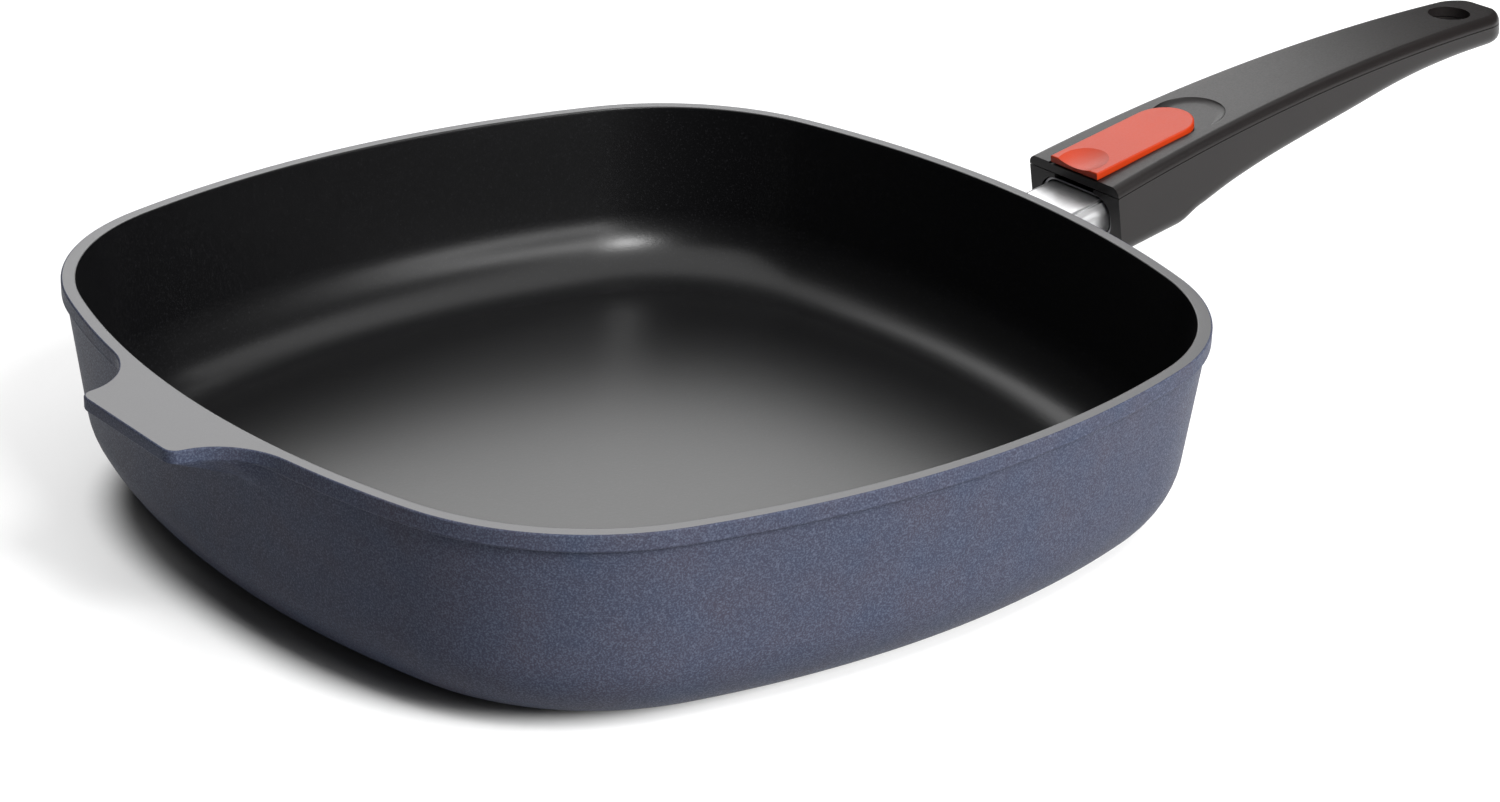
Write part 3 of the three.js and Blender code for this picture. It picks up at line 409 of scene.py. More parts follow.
def add(tree, kind, inputs=None, **settings):
    """Adds a node with its settings; an input is a value, or another node's output to link."""
    made = tree.nodes.new(kind)
    for name, value in settings.items():
        setattr(made, name, value)
    for socket, value in (inputs or {}).items():
        if isinstance(value, bpy.types.NodeSocket):
            tree.links.new(value, made.inputs[socket])
        else:
            made.inputs[socket].default_value = value
    return made


def new_material(name):
    """A material with only its output, and the object coordinates that its patterns use."""
    material = bpy.data.materials.new(name)
    material.use_nodes = True
    tree = material.node_tree
    tree.nodes.clear()
    place = add(tree, "ShaderNodeTexCoord").outputs["Object"]
    return material, tree, place


def finish_with(tree, inputs):
    """Ends a material in one shader with these inputs."""
    shader = add(tree, "ShaderNodeBsdfPrincipled", inputs)
    add(tree, "ShaderNodeOutputMaterial", {"Surface": shader.outputs["BSDF"]})


def noise(tree, place, size, detail, roughness=0.5):
    """Cloudy noise whose features are about this many millimetres wide."""
    inputs = {"Vector": place, "Scale": repeats(size), "Detail": detail, "Roughness": roughness}
    return add(tree, "ShaderNodeTexNoise", inputs).outputs["Fac"]


def mix(tree, share, first, second):
    """A colour between two, each a hex code or another node's output."""
    ends = [colour(end) if isinstance(end, str) else end for end in (first, second)]
    return add(tree, "ShaderNodeMix", {0: share, 6: ends[0], 7: ends[1]}, data_type="RGBA").outputs[2]


def fit(tree, value, low, high, start=0, end=1, **settings):
    """Maps a value between start and end to the range from low to high."""
    inputs = {"Value": value, "From Min": start, "From Max": end, "To Min": low, "To Max": high}
    return add(tree, "ShaderNodeMapRange", inputs, **settings).outputs[0]


def relief(tree, height, depth, strength):
    """Bumps of this depth in millimetres."""
    inputs = {"Height": height, "Distance": depth * MM, "Strength": strength}
    return add(tree, "ShaderNodeBump", inputs).outputs["Normal"]


def maths(tree, operation, first, second):
    """A sum with two numbers, each a value or another node's output."""
    return add(tree, "ShaderNodeMath", {0: first, 1: second}, operation=operation).outputs[0]


def vectors(tree, operation, *values):
    """The outputs of a sum with vectors."""
    return add(tree, "ShaderNodeVectorMath", dict(enumerate(values)), operation=operation).outputs


def pearl_coat():
    """Sprayed ceramic-filled lacquer on cast aluminium: dark blue-violet, with fine pale specks of pearl."""
    material, tree, place = new_material("sprayed_pearl_lacquer")
    tint = mix(tree, noise(tree, place, 14, 3), "#313a4c", "#3d3942")
    # Real specks are about 0.1 mm; they are drawn at 0.5 mm so that they show
    specks = fit(tree, noise(tree, place, 0.5, 2, 0.6), 0, 1, 0.44, 0.8)
    peel = noise(tree, place, 1.4, 4)
    finish_with(
        tree,
        {
            "Base Color": mix(tree, specks, tint, "#575d6d"),
            "Roughness": fit(tree, specks, 0.5, 0.34),
            "Normal": relief(tree, peel, 0.06, 0.5),
            "Metallic": 0.05,
            "IOR": 1.12,
        },
    )
    return material


def bare_rim():
    """Aluminium, ground flat after coating: an even satin grey with a fine grain."""
    material, tree, place = new_material("ground_bare_aluminium")
    # Grinding grit leaves marks of about 0.1 mm; they are drawn at 0.6 mm so that they show
    grain = noise(tree, place, 0.6, 5, 0.7)
    finish_with(
        tree,
        {
            "Base Color": mix(tree, grain, "#636364", "#7c7c7d"),
            "Roughness": fit(tree, grain, 0.42, 0.6),
            "Normal": relief(tree, grain, 0.03, 0.4),
            "Metallic": 1,
        },
    )
    return material


def black_lining():
    """Non-stick fluoropolymer, sprayed and baked: black and waxy, with faint grey mineral specks."""
    material, tree, place = new_material("baked_nonstick_lining")
    # Real specks are about 0.1 mm; they are drawn at 0.6 mm so that they show
    specks = fit(tree, noise(tree, place, 0.6, 2, 0.6), 0, 1, 0.58, 0.8)
    peel = noise(tree, place, 1.1, 4)
    finish_with(
        tree,
        {
            "Base Color": mix(tree, specks, "#060607", "#1e1e20"),
            "Roughness": fit(tree, specks, 0.305, 0.275),
            "Normal": relief(tree, peel, 0.05, 0.45),
            "IOR": 1.46,
        },
    )
    return material


def turned_base():
    """Aluminium, faced on a lathe so that it stands flat: fine rings round the middle."""
    material, tree, place = new_material("lathe_turned_aluminium")
    # The tool's feed is about 0.3 mm a turn; it is drawn at 1.5 mm so that it shows.
    # The texture's own rings are pi / 10 apart
    rings = add(
        tree,
        "ShaderNodeTexWave",
        {"Vector": place, "Scale": repeats(1.5) * pi / 10, "Distortion": 0.4, "Detail": 2},
        wave_type="RINGS",
        rings_direction="Z",
    ).outputs["Fac"]
    finish_with(
        tree,
        {
            "Base Color": mix(tree, rings, "#9b9c9e", "#c9cacb"),
            "Roughness": 0.36,
            "Normal": relief(tree, rings, 0.04, 0.6),
            "Metallic": 1,
        },
    )
    return material


def moulded(name, base, light, rough):
    """A moulded plastic: an even satin with the fine grain of a spark-eroded mould."""
    material, tree, place = new_material(name)
    # The mould's grain is about 0.1 mm; it is drawn at 0.7 mm so that it shows
    grain = noise(tree, place, 0.7, 5, 0.65)
    flow = noise(tree, place, 28, 2)
    finish_with(
        tree,
        {
            "Base Color": mix(tree, maths(tree, "MULTIPLY", grain, flow), base, light),
            "Roughness": fit(tree, grain, rough - 0.06, rough + 0.06, 0.3, 0.7),
            "Normal": relief(tree, grain, 0.03, 0.5),
            "IOR": 1.34,
        },
    )
    return material


def drawn_metal(name, dark, light, rough, stretch):
    """A drawn, rolled or plated metal: faint lines, longer than wide by stretch, along the handle."""
    material, tree, place = new_material(name)
    turned = add(
        tree,
        "ShaderNodeMapping",
        {"Vector": place, "Rotation": (0, -TILT, 0), "Scale": (stretch, 1, 1)},
        vector_type="TEXTURE",
    )
    # Drawing lines are about 0.05 mm apart; they are drawn at 0.5 mm so that they show
    lines = noise(tree, turned.outputs[0], 0.5, 4, 0.6)
    finish_with(
        tree,
        {
            "Base Color": mix(tree, lines, dark, light),
            "Roughness": fit(tree, lines, rough * 0.8, rough * 1.2),
            "Normal": relief(tree, lines, 0.01, 0.3),
            "Metallic": 1,
        },
    )
    return material


# The casting


def plan_radius(angle, half):
    """How far the bowed square reaches at an angle, when its sides are half away from the middle."""
    shrink = RIM_HALF - half
    bow = SIDE_BOW - shrink
    corner = CORNER - CORNER_EASE * shrink
    bow_centre = half - bow
    apart = bow - corner
    corner_centre = (bow_centre + sqrt(2 * apart * apart - bow_centre * bow_centre)) / 2
    tangent = atan2(corner_centre, corner_centre - bow_centre)
    meets = atan2(bow * sin(tangent), bow_centre + bow * cos(tangent))
    folded = abs((angle + pi / 4) % (pi / 2) - pi / 4)
    if folded < meets:
        return bow_centre * cos(folded) + sqrt(bow * bow - (bow_centre * sin(folded)) ** 2)
    reach = sqrt(2) * corner_centre
    away = pi / 4 - folded
    return reach * cos(away) + sqrt(corner * corner - (reach * sin(away)) ** 2)


def on_plan(turn, half, level, share=1):
    """A point on the bowed square, or only a share of the way out to it."""
    reach = plan_radius(turn, half) * share
    return Vector((reach * cos(turn), reach * sin(turn), level))


def wall_half(level):
    """How far the outer wall stands from the middle."""
    band_foot = HEIGHT - BAND_HEIGHT
    return RIM_HALF - BAND_PROUD - LEAN * (band_foot - level)


def bowl_half(level):
    """How far the inner wall stands from the middle."""
    return RIM_HALF - RIM_WIDTH - LEAN * (HEIGHT - level)


def bezier(points, share):
    """A point on a curve drawn with any number of control points."""
    while len(points) > 1:
        points = [a.lerp(b, share) for a, b in zip(points, points[1:])]
    return points[0]


def tab_edge():
    """Angles and reaches round half of the tab's edge, from the middle of its front to the rim."""
    tip = RIM_HALF + TAB_REACH
    wide = TAB_ROOT_WIDTH / 2
    narrow = TAB_WIDTH / 2
    edge = RIM_HALF - wide * wide / (2 * SIDE_BOW)
    between = (wide + narrow) / 2
    rounded = [Vector((tip, narrow - TAB_CORNER)), Vector((tip, narrow)), Vector((tip - TAB_CORNER, narrow))]
    flank = [
        rounded[2],
        Vector((RIM_HALF + TAB_REACH * TAB_FLARE, narrow + TAB_CORNER / 3)),
        Vector((edge + (wide - between) * wide / SIDE_BOW, between)),
        Vector((edge, wide)),
    ]
    front_steps, corner_steps, flank_steps = TAB_STEPS
    points = [Vector((tip, rounded[0].y * i / front_steps)) for i in range(front_steps)]
    points += [bezier(rounded, i / corner_steps) for i in range(corner_steps)]
    points += [bezier(flank, i / flank_steps) for i in range(flank_steps + 1)]
    return [atan2(p.y, p.x) for p in points], [p.length for p in points]


TAB_ANGLES, TAB_REACHES = tab_edge()


def rim_outline(turn):
    """The rim's outer edge in plan, with the tab."""
    away = abs(turn - pi)
    plain = plan_radius(turn, RIM_HALF)
    reach = plain
    if away < TAB_ANGLES[-1]:
        reach = max(plain, float(np.interp(away, TAB_ANGLES, TAB_REACHES)))
    return Vector((reach * cos(turn), reach * sin(turn))), reach - plain


def rim_ring(turns, inset, level):
    """The rim's outer edge, moved in square to itself."""
    ring = []
    step = radians(TAB_TURN_STEP)
    for turn in turns:
        here, _ = rim_outline(turn)
        way = rim_outline(turn + step)[0] - rim_outline(turn - step)[0]
        inward = Vector((-way.y, way.x)).normalized()
        here += inward * inset
        ring.append(Vector((here.x, here.y, level)))
    return ring


def band_half(level):
    """The wall with the rounded step where the rim's band stands proud of it."""
    into = level - (HEIGHT - BAND_HEIGHT)
    if into <= 0:
        return wall_half(level)
    lost = max(0, 1 - into / BAND_EDGE)
    return RIM_HALF - BAND_PROUD * (1 - sqrt(1 - lost * lost))


def under_tab_ring(turns, share):
    """The wall under the rim, which runs out along the underside of the tab."""
    level = TAB_GUSSET_FOOT + (TAB_EDGE_FOOT - TAB_GUSSET_FOOT) * share
    ring = []
    for turn in turns:
        wall = on_plan(turn, band_half(level), level)
        foot = on_plan(turn, wall_half(TAB_GUSSET_FOOT), level)
        edge, proud = rim_outline(turn)
        slope = foot.lerp(Vector((edge.x, edge.y, level)), share)
        weight = min(1, proud / TAB_BLEND)
        ring.append(wall.lerp(slope, weight * weight * (3 - 2 * weight)))
    return ring


def casting_turns():
    """Angles round the pan, closer together at the tab."""
    fine = np.arange(180 - TAB_HALF_TURN, 180 + TAB_HALF_TURN, TAB_TURN_STEP)
    rest = np.arange(180 + TAB_HALF_TURN, 540 - TAB_HALF_TURN, TURN_STEP)
    return [radians(a) for a in sorted(np.concatenate((fine, rest)) % 360)]


def fillet_centre(half_at, level, radius):
    """Where the middle of a fillet lies, so that it runs smoothly into the leaning wall."""
    return half_at(level) - radius * sqrt(1 + LEAN * LEAN)


def plan_ring(turns, half, level, share=1):
    """A level ring round the pan."""
    return [on_plan(turn, half, level, share) for turn in turns]


def outside_rings(turns):
    """Rings and their finishes, from the middle of the base up to the tab's edge."""
    foot = fillet_centre(wall_half, OUTER_FILLET, OUTER_FILLET)
    rings = [(plan_ring(turns, foot, 0, share), TURNED_BASE) for share in BASE_SHARES]
    for i in range(OUTER_STEPS + 1):
        turn = (pi / 2 - WALL_TURN) * i / OUTER_STEPS
        half = foot + OUTER_FILLET * sin(turn)
        rings.append((plan_ring(turns, half, OUTER_FILLET * (1 - cos(turn))), SPRAYED_COAT))
    for level in WALL_LEVELS:
        rings.append((plan_ring(turns, wall_half(level), level), SPRAYED_COAT))
    for share in UNDER_TAB_SHARES:
        rings.append((under_tab_ring(turns, share), SPRAYED_COAT))
    return rings


def rim_rings(turns):
    """Up the edge of the rim and the tab, over it, and across the flat top."""
    places = [*EDGE_FOOT, (0, HEIGHT - RIM_EDGE)]
    for turn in quarter(RIM_STEPS)[1:]:
        places.append((RIM_EDGE * (1 - cos(turn)), HEIGHT - RIM_EDGE * (1 - sin(turn))))
    rings = [(rim_ring(turns, inset, level), SPRAYED_COAT) for inset, level in places]
    rings.append((plan_ring(turns, RIM_HALF - RIM_WIDTH + RIM_EDGE, HEIGHT), BARE_RIM))
    return rings


def bowl_rings(turns):
    """Over the inner edge of the rim, down the wall and to the middle of the floor, all lined."""
    places = []
    for turn in quarter(RIM_STEPS)[1:]:
        half = RIM_HALF - RIM_WIDTH + RIM_EDGE * (1 - sin(turn))
        places.append((half, HEIGHT - RIM_EDGE * (1 - cos(turn)), 1))
    for level in BOWL_LEVELS:
        places.append((bowl_half(level), level, 1))
    middle = FLOOR + INNER_FILLET
    foot = fillet_centre(bowl_half, middle, INNER_FILLET)
    for i in range(INNER_STEPS + 1):
        turn = WALL_TURN + (pi / 2 - WALL_TURN) * i / INNER_STEPS
        places.append((foot + INNER_FILLET * cos(turn), middle - INNER_FILLET * sin(turn), 1))
    for share in FLOOR_SHARES:
        places.append((foot, FLOOR, share))
    return [(plan_ring(turns, half, level, share), BLACK_LINING) for half, level, share in places]


def casting_mesh():
    """The casting in one skin: up the outside, over the rim and the tab, and down into the bowl."""
    turns = casting_turns()
    rings, finishes = zip(*outside_rings(turns), *rim_rings(turns), *bowl_rings(turns))
    bm = bmesh.new()
    low, high = skin(bm, rings, finishes[1:])
    close_pole(bm, low, Vector((0, 0, 0)))
    close_pole(bm, high, Vector((0, 0, FLOOR)))
    return bm


def rounded_section(width, height, corner, u):
    """Points round a section square to the handle's axis."""
    points = []
    for index, (side, rise) in enumerate(((1, 1), (-1, 1), (-1, -1), (1, -1))):
        middle = Vector((u, side * (width / 2 - corner), rise * (height / 2 - corner)))
        for i in range(CORNER_STEPS + 1):
            turn = (index + i / CORNER_STEPS) * pi / 2
            points.append(middle + Vector((0, corner * cos(turn), corner * sin(turn))))
    return points


def stub_section(margin, u):
    """The stub's section, larger by a margin all round."""
    return rounded_section(STUB_WIDTH + 2 * margin, STUB_HEIGHT + 2 * margin, STUB_CORNER + margin, u)


def seat_on_wall(point, depth):
    """Moves a point of the boss along the handle's axis until it lies under the wall's skin."""
    place = HANDLE_FRAME @ point
    for _ in range(SEATING_ROUNDS):
        half = wall_half(place.z) - depth
        bow = SIDE_BOW - (RIM_HALF - half)
        skin_at = half - bow + sqrt(bow * bow - place.y * place.y)
        place += ALONG * ((skin_at - place.x) / ALONG.x)
    return place


def boss_mesh(bm):
    """The boss that the stub stands in, with a flared root in the wall and a shallow seat."""
    rings = []
    for depth, share in BOSS_ROOT:
        section = stub_section(BOSS_MARGIN + BOSS_FLARE * share, 0)
        rings.append([seat_on_wall(p, depth) for p in section])
    ends = [(BOSS_MARGIN + margin, BOSS_FACE + place) for margin, place in BOSS_EDGE]
    ends += [(SEAT_GAP, BOSS_FACE), (SEAT_GAP, STUB_START - SEAT_GAP)]
    for margin, u in ends:
        rings.append([HANDLE_FRAME @ p for p in stub_section(margin, u)])
    close_ends(bm, *skin(bm, rings, [SPRAYED_COAT] * len(rings)))


# The handle


def top_level(u):
    """The handle's top, which is a shallow arc along it."""
    return HANDLE_TOP + (APEX_AT**2 - (u - APEX_AT) ** 2) / (2 * TOP_ARC)


def grip_underside(u):
    """The grip's underside, as a smooth curve through its points."""
    last = len(GRIP_UNDERSIDE) - 1
    i = max(k for k in range(last) if GRIP_UNDERSIDE[k][0] <= u or k == 0)

    def slope(k):
        a, b = GRIP_UNDERSIDE[max(k - 1, 0)], GRIP_UNDERSIDE[min(k + 1, last)]
        return (b[1] - a[1]) / (b[0] - a[0])

    (a, low), (b, high) = GRIP_UNDERSIDE[i], GRIP_UNDERSIDE[i + 1]
    span = b - a
    t = (u - a) / span
    ends = low * (1 + 2 * t) * (1 - t) ** 2 + high * t * t * (3 - 2 * t)
    return ends + span * (slope(i) * t * (1 - t) ** 2 + slope(i + 1) * t * t * (t - 1))


def underside_level(u):
    """The handle's underside: the housing, a slope and the grip."""
    start, level = GRIP_UNDERSIDE[0]
    if u >= start:
        return grip_underside(u)
    share = max(0, (u - HOUSING_LENGTH) / (start - HOUSING_LENGTH))
    housing = HOUSING_FRONT + (HOUSING_REAR - HOUSING_FRONT) * min(1, u / HOUSING_LENGTH)
    return housing + (level - housing) * share * share * (3 - 2 * share)


def half_width(u):
    """Half the handle's width, which tapers and is rounded off at the end."""
    tapered = FRONT_HALF + (END_HALF - FRONT_HALF) * u / HANDLE_LENGTH
    into = max(0, u - (HANDLE_LENGTH - END_CORNER))
    return tapered - END_CORNER + sqrt(max(0, END_CORNER**2 - into**2))


def end_fall(u, radius):
    """How far a rounded edge has fallen away, near the handle's end."""
    into = max(0, u - (HANDLE_LENGTH - radius))
    return radius - sqrt(max(0, radius**2 - into**2))


def corner_points(u, side, level, radius, start):
    """Points round a quarter of a circle, from the angle where it starts."""
    points = []
    for i in range(CORNER_STEPS + 1):
        turn = start + pi / 2 * i / CORNER_STEPS
        points.append(Vector((u, side + radius * cos(turn), level + radius * sin(turn))))
    return points


def straight(a, b, steps):
    """Points between two others."""
    return [a.lerp(b, i / steps) for i in range(1, steps)]


def upper_section(u):
    """The handle's top, down to the seam."""
    half = half_width(u)
    top = top_level(u) - end_fall(u, TOP_EDGE)
    seam = top_level(u) - SEAM_DEPTH + SEAT_GAP / 2
    edge = min(TOP_EDGE, half / 2, (top - seam) * TOP_EDGE_SHARE)
    painted_shade_glow = corner_points(u, half - edge, top - edge, edge, 0)
    far = corner_points(u, edge - half, top - edge, edge, pi / 2)
    across = straight(painted_shade_glow[-1], far[0], TOP_STEPS)
    return [Vector((u, half, seam)), *painted_shade_glow, *across, *far, Vector((u, -half, seam))]


def lower_section(u):
    """The handle's sides and underside, up to the seam."""
    half = half_width(u)
    bottom = underside_level(u) + end_fall(u, BOTTOM_EDGE)
    seam = top_level(u) - SEAM_DEPTH - SEAT_GAP / 2
    edge = min(BOTTOM_EDGE, half / 2, (seam - bottom) * BOTTOM_EDGE_SHARE)
    far = corner_points(u, edge - half, bottom + edge, edge, pi)
    painted_shade_glow = corner_points(u, half - edge, bottom + edge, edge, 1.5 * pi)
    far_top = Vector((u, -half, seam))
    near_top = Vector((u, half, seam))
    return [
        far_top,
        *straight(far_top, far[0], SIDE_STEPS),
        *far,
        *straight(far[-1], painted_shade_glow[0], BOTTOM_STEPS),
        *painted_shade_glow,
        *straight(painted_shade_glow[-1], near_top, SIDE_STEPS),
        near_top,
    ]


def handle_stations():
    """Places along the handle, closer together where it curves."""
    grip = GRIP_UNDERSIDE[0][0]
    straight_end = HANDLE_LENGTH - END_CORNER
    housing_steps, slope_steps, grip_steps, end_steps = STATIONS
    parts = [
        np.linspace(0, HOUSING_LENGTH, housing_steps),
        np.linspace(HOUSING_LENGTH, grip, slope_steps)[1:],
        np.linspace(grip, straight_end, grip_steps)[1:],
        straight_end + END_CORNER * np.sin(np.linspace(0, pi / 2, end_steps))[1:],
    ]
    return [float(u) for u in np.concatenate(parts)]


def shell(name, section, material):
    """One half of the handle, through its sections."""
    return solid(name, [section(u) for u in handle_stations()], material)


def tool(rings, frame=HANDLE_FRAME):
    """A shape for cutting or joining."""
    return solid("tool", rings, frame=frame)


def block(low, high):
    """A box between its low and high corners."""
    outline = [(low[1], low[2]), (high[1], low[2]), (high[1], high[2]), (low[1], high[2])]
    return tool([[Vector((u, v, w)) for v, w in outline] for u in (low[0], high[0])])


def circle(radius, steps=CIRCLE_STEPS):
    """Points round a circle, as pairs of distances from its middle."""
    return [(radius * cos(2 * pi * k / steps), radius * sin(2 * pi * k / steps)) for k in range(steps)]


def post(radius, at, side, low, high):
    """An upright round bar."""
    return tool([[Vector((at + x, side + y, level)) for x, y in circle(radius)] for level in (low, high)])


def rod(radius, start, end, level):
    """A round bar along the handle."""
    return tool([[Vector((u, x, level + y)) for x, y in circle(radius)] for u in (start, end)])


def ball(radius, depth, at, level):
    """The cap of a ball that leaves a shallow dish of this radius and depth."""
    size = (radius * radius + depth * depth) / (2 * depth)
    rings = []
    for i in range(DISH_STEPS + 1):
        turn = DISH_SPREAD * radius / size * max(i, DISH_POLE) / DISH_STEPS
        rise = level - depth + size * (1 - cos(turn))
        rings.append([Vector((at + x, y, rise)) for x, y in circle(size * sin(turn), FINE_STEPS)])
    return tool(rings)


def slot(start, end, side, half, low, high):
    """An upright slot with round ends."""
    outline = []
    for k in range(CIRCLE_STEPS):
        turn = 2 * pi * (k + 0.5) / CIRCLE_STEPS
        middle = end if cos(turn) > 0 else start
        outline.append((middle + half * cos(turn), side + half * sin(turn)))
    return tool([[Vector((u, v, level)) for u, v in outline] for level in (low, high)])


def tongue_ring(front, rear, width, inset, level):
    """A slot in plan with a square front and a round rear end."""
    half = width / 2 - inset
    middle = rear - width / 2
    ring = [Vector((front + inset, -half, level))]
    for i in range(TONGUE_STEPS + 1):
        turn = -pi / 2 + pi * i / TONGUE_STEPS
        ring.append(Vector((middle + half * cos(turn), half * sin(turn), level)))
    ring.append(Vector((front + inset, half, level)))
    return ring


def scoop():
    """The round end of the slider's dish: a level floor with a wall that curves up to the handle's top."""
    rings = []
    for i in range(SCOOP_STEPS + 1):
        turn = SCOOP_TURN * i / SCOOP_STEPS
        reach = SCOOP_FLOOR + (SCOOP - SCOOP_FLOOR) * sin(turn) / sin(SCOOP_TURN)
        rise = DECK + SCOOP_RISE * (1 - cos(turn)) / (1 - cos(SCOOP_TURN))
        rings.append([Vector((SCOOP_AT + x, y, rise)) for x, y in circle(reach, FINE_STEPS)])
    rings.append([Vector((SCOOP_AT + x, y, OVER_ALL)) for x, y in circle(SCOOP, FINE_STEPS)])
    return tool(rings)


def hanging_hole():
    """The hole runs straight down when the pan stands level."""
    middle = (top_level(HANG_HOLE_AT) + underside_level(HANG_HOLE_AT)) / 2
    place = HANDLE_FRAME @ Vector((HANG_HOLE_AT, 0, middle))
    ends = (-HANG_HOLE_REACH, HANG_HOLE_REACH)
    rings = [[place + Vector((x, y, rise)) for x, y in circle(HANG_HOLE, HANG_HOLE_STEPS)] for rise in ends]
    return tool(rings, Matrix.Identity(4))


def upper_cover(material):
    """The handle's top, with the slider's channel and dish, and blind holes for posts and screws below."""
    piece = shell("handle_upper_cover", upper_section, material)
    levels = (DECK, OVER_ALL)
    carve(piece, tool([tongue_ring(CHANNEL_FRONT, CHANNEL_END, CHANNEL_WIDTH, 0, level) for level in levels]))
    carve(piece, scoop())
    carve(piece, hanging_hole())
    carve(piece, block(*BULKHEAD), "UNION")
    carve(piece, rod(PIN_SEAT, PIN_SEAT_START, PIN_SEAT_END, PIN_LEVEL))
    for side in (-POST_SPREAD, POST_SPREAD):
        carve(piece, slot(POST_AT, POST_AT + POST_TRAVEL, side, POST_ROOM, 0, DECK - POST_ROOF))
    for at, side in SHELL_SCREWS:
        carve(piece, post(SHELL_SCREW_HOLE, at, side, 0, top_level(at) - SHELL_SCREW_TIP))
    soften(piece, SHELL_SOFTNESS)
    return piece


def lower_body(material):
    """The handle's sides and underside, hollowed for the stub, the latch and the screws."""
    piece = shell("handle_lower_body", lower_section, material)
    room = 2 * SEAT_GAP + SLEEVE_WALL
    carve(piece, tool([stub_section(room, u) for u in (SOCKET_FRONT, STUB_END + 2 * SEAT_GAP)]))
    for corners in (CHAMBER, LATCH_POCKET, CORE):
        carve(piece, block(*corners))
    for at in LATCH_SCREWS_AT:
        carve(piece, post(LATCH_SCREW_HOLE, at, 0, LATCH_SCREW_FOOT, HANDLE_TOP))
    for at, side in SHELL_SCREWS:
        seat = top_level(at) - SHELL_SCREW_SEAT
        carve(piece, post(SHELL_SCREW_HOLE, at, side, seat - SHELL_SCREW_OVERLAP, OVER_ALL))
        carve(piece, post(SHELL_SCREW_RECESS, at, side, UNDER_ALL, seat))
    carve(piece, hanging_hole())
    soften(piece, SHELL_SOFTNESS)
    return piece


def stub_tube(material):
    """The stub: a solid end at the pan, a groove along each upper edge and a slot for the latch."""
    rings = [
        stub_section(-STUB_EDGE, STUB_START),
        stub_section(0, STUB_START + STUB_EDGE),
        stub_section(0, STUB_END - STUB_EDGE),
        stub_section(-STUB_EDGE, STUB_END),
        stub_section(-STUB_WALL, STUB_END),
        stub_section(-STUB_WALL, STUB_START + STUB_BULKHEAD),
    ]
    piece = solid("handle_stub_tube", rings, material)
    for side in (-1, 1):
        middle = side * (STUB_WIDTH / 2 - GROOVE_INSET)
        low = (STUB_START - CUT_PAST, middle - GROOVE_WIDTH / 2, GROOVE_FLOOR)
        high = (STUB_END + CUT_PAST, middle + GROOVE_WIDTH / 2, STUB_HEIGHT)
        carve(piece, block(low, high))
    carve(piece, block(*LATCH_SLOT))
    carve(piece, rod(STUB_SCREW_HOLE, STUB_START - CUT_PAST, STUB_START + STUB_BULKHEAD + CUT_PAST, 0))
    soften(piece, STUB_SOFTNESS)
    return piece


def mouth_sleeve(material):
    """The thin metal lining of the handle's mouth."""
    inside = SEAT_GAP
    outside = SEAT_GAP + SLEEVE_WALL
    rings = [
        stub_section(inside, SLEEVE_FRONT),
        stub_section(outside, SLEEVE_FRONT),
        stub_section(outside, STUB_END),
        stub_section(inside, STUB_END),
    ]
    bm = bmesh.new()
    first, last = skin(bm, rings)
    bmesh.ops.bridge_loops(bm, edges=first + last)
    bm.transform(HANDLE_FRAME)
    piece = new_piece("handle_mouth_sleeve", bm, material)
    soften(piece, SLEEVE_SOFTNESS)
    return piece


def slider_cap(material):
    """The slider: a tongue with rounded edges and a dish for the thumb."""
    places = []
    for turn in quarter(SLIDER_FOOT_STEPS):
        places.append((SLIDER_EDGE * (1 - sin(turn)), SLIDER_UNDERSIDE + SLIDER_EDGE * (1 - cos(turn))))
    for turn in quarter(SLIDER_TOP_STEPS):
        places.append((SLIDER_EDGE * (1 - cos(turn)), SLIDER_TOP - SLIDER_EDGE * (1 - sin(turn))))
    rings = [tongue_ring(SLIDER_FRONT, SLIDER_REAR, SLIDER_WIDTH, inset, level) for inset, level in places]
    piece = solid("release_slider_cap", rings, material)
    carve(piece, ball(THUMB_DISH, THUMB_DISH_DEPTH, THUMB_DISH_AT, SLIDER_TOP))
    soften(piece, 0)
    return piece


def return_coil(material):
    """The coil spring behind the slider, wound along the handle."""
    climb = (COIL_END - COIL_START) / (2 * pi * COIL_CURLS)
    rings = []
    for i in range(COIL_CURLS * COIL_STEPS + 1):
        turn = 2 * pi * i / COIL_STEPS
        out = Vector((0, cos(turn), sin(turn)))
        forward = Vector((climb, -COIL_RADIUS * sin(turn), COIL_RADIUS * cos(turn))).normalized()
        side = forward.cross(out)
        middle = Vector((COIL_START + climb * turn, 0, PIN_LEVEL)) + out * COIL_RADIUS
        rings.append([middle + out * x + side * y for x, y in circle(COIL_WIRE, COIL_SIDES)])
    piece = solid("return_coil", rings, material)
    soften(piece, 0)
    return piece


def latch_strip(material):
    """The spring strip that locks the handle on the stub: a tooth, a level run, a ramp and a clamped rear."""
    half = LATCH_THICKNESS / 2
    tooth_start, tooth_end = LATCH_TOOTH
    ramp_start, ramp_end = LATCH_RAMP
    outline = [
        (LATCH_TIP, -half),
        (ramp_start + half, -half),
        (ramp_end + half, LATCH_STEP - half),
        (LATCH_END, LATCH_STEP - half),
        (LATCH_END, LATCH_STEP + half),
        (ramp_end, LATCH_STEP + half),
        (ramp_start, half),
        (tooth_end, half),
        (tooth_end, LATCH_TOOTH_TOP),
        (tooth_start, LATCH_TOOTH_TOP),
        (LATCH_TIP, half),
    ]
    sides = (-LATCH_HALF_WIDTH, LATCH_HALF_WIDTH)
    piece = solid("latch_strip", [[Vector((u, side, w)) for u, w in outline] for side in sides], material)
    for at in LATCH_SCREWS_AT:
        carve(piece, post(LATCH_SCREW_HOLE, at, 0, 0, LATCH_TOOTH_TOP))
    soften(piece, LATCH_SOFTNESS)
    return piece


# The object, put together


def dress(frame, material, *names):
    """Gives CAD nodes a finish."""
    for name in names:
        for holder in frame["nodes"][name].material_slots:
            holder.material = material


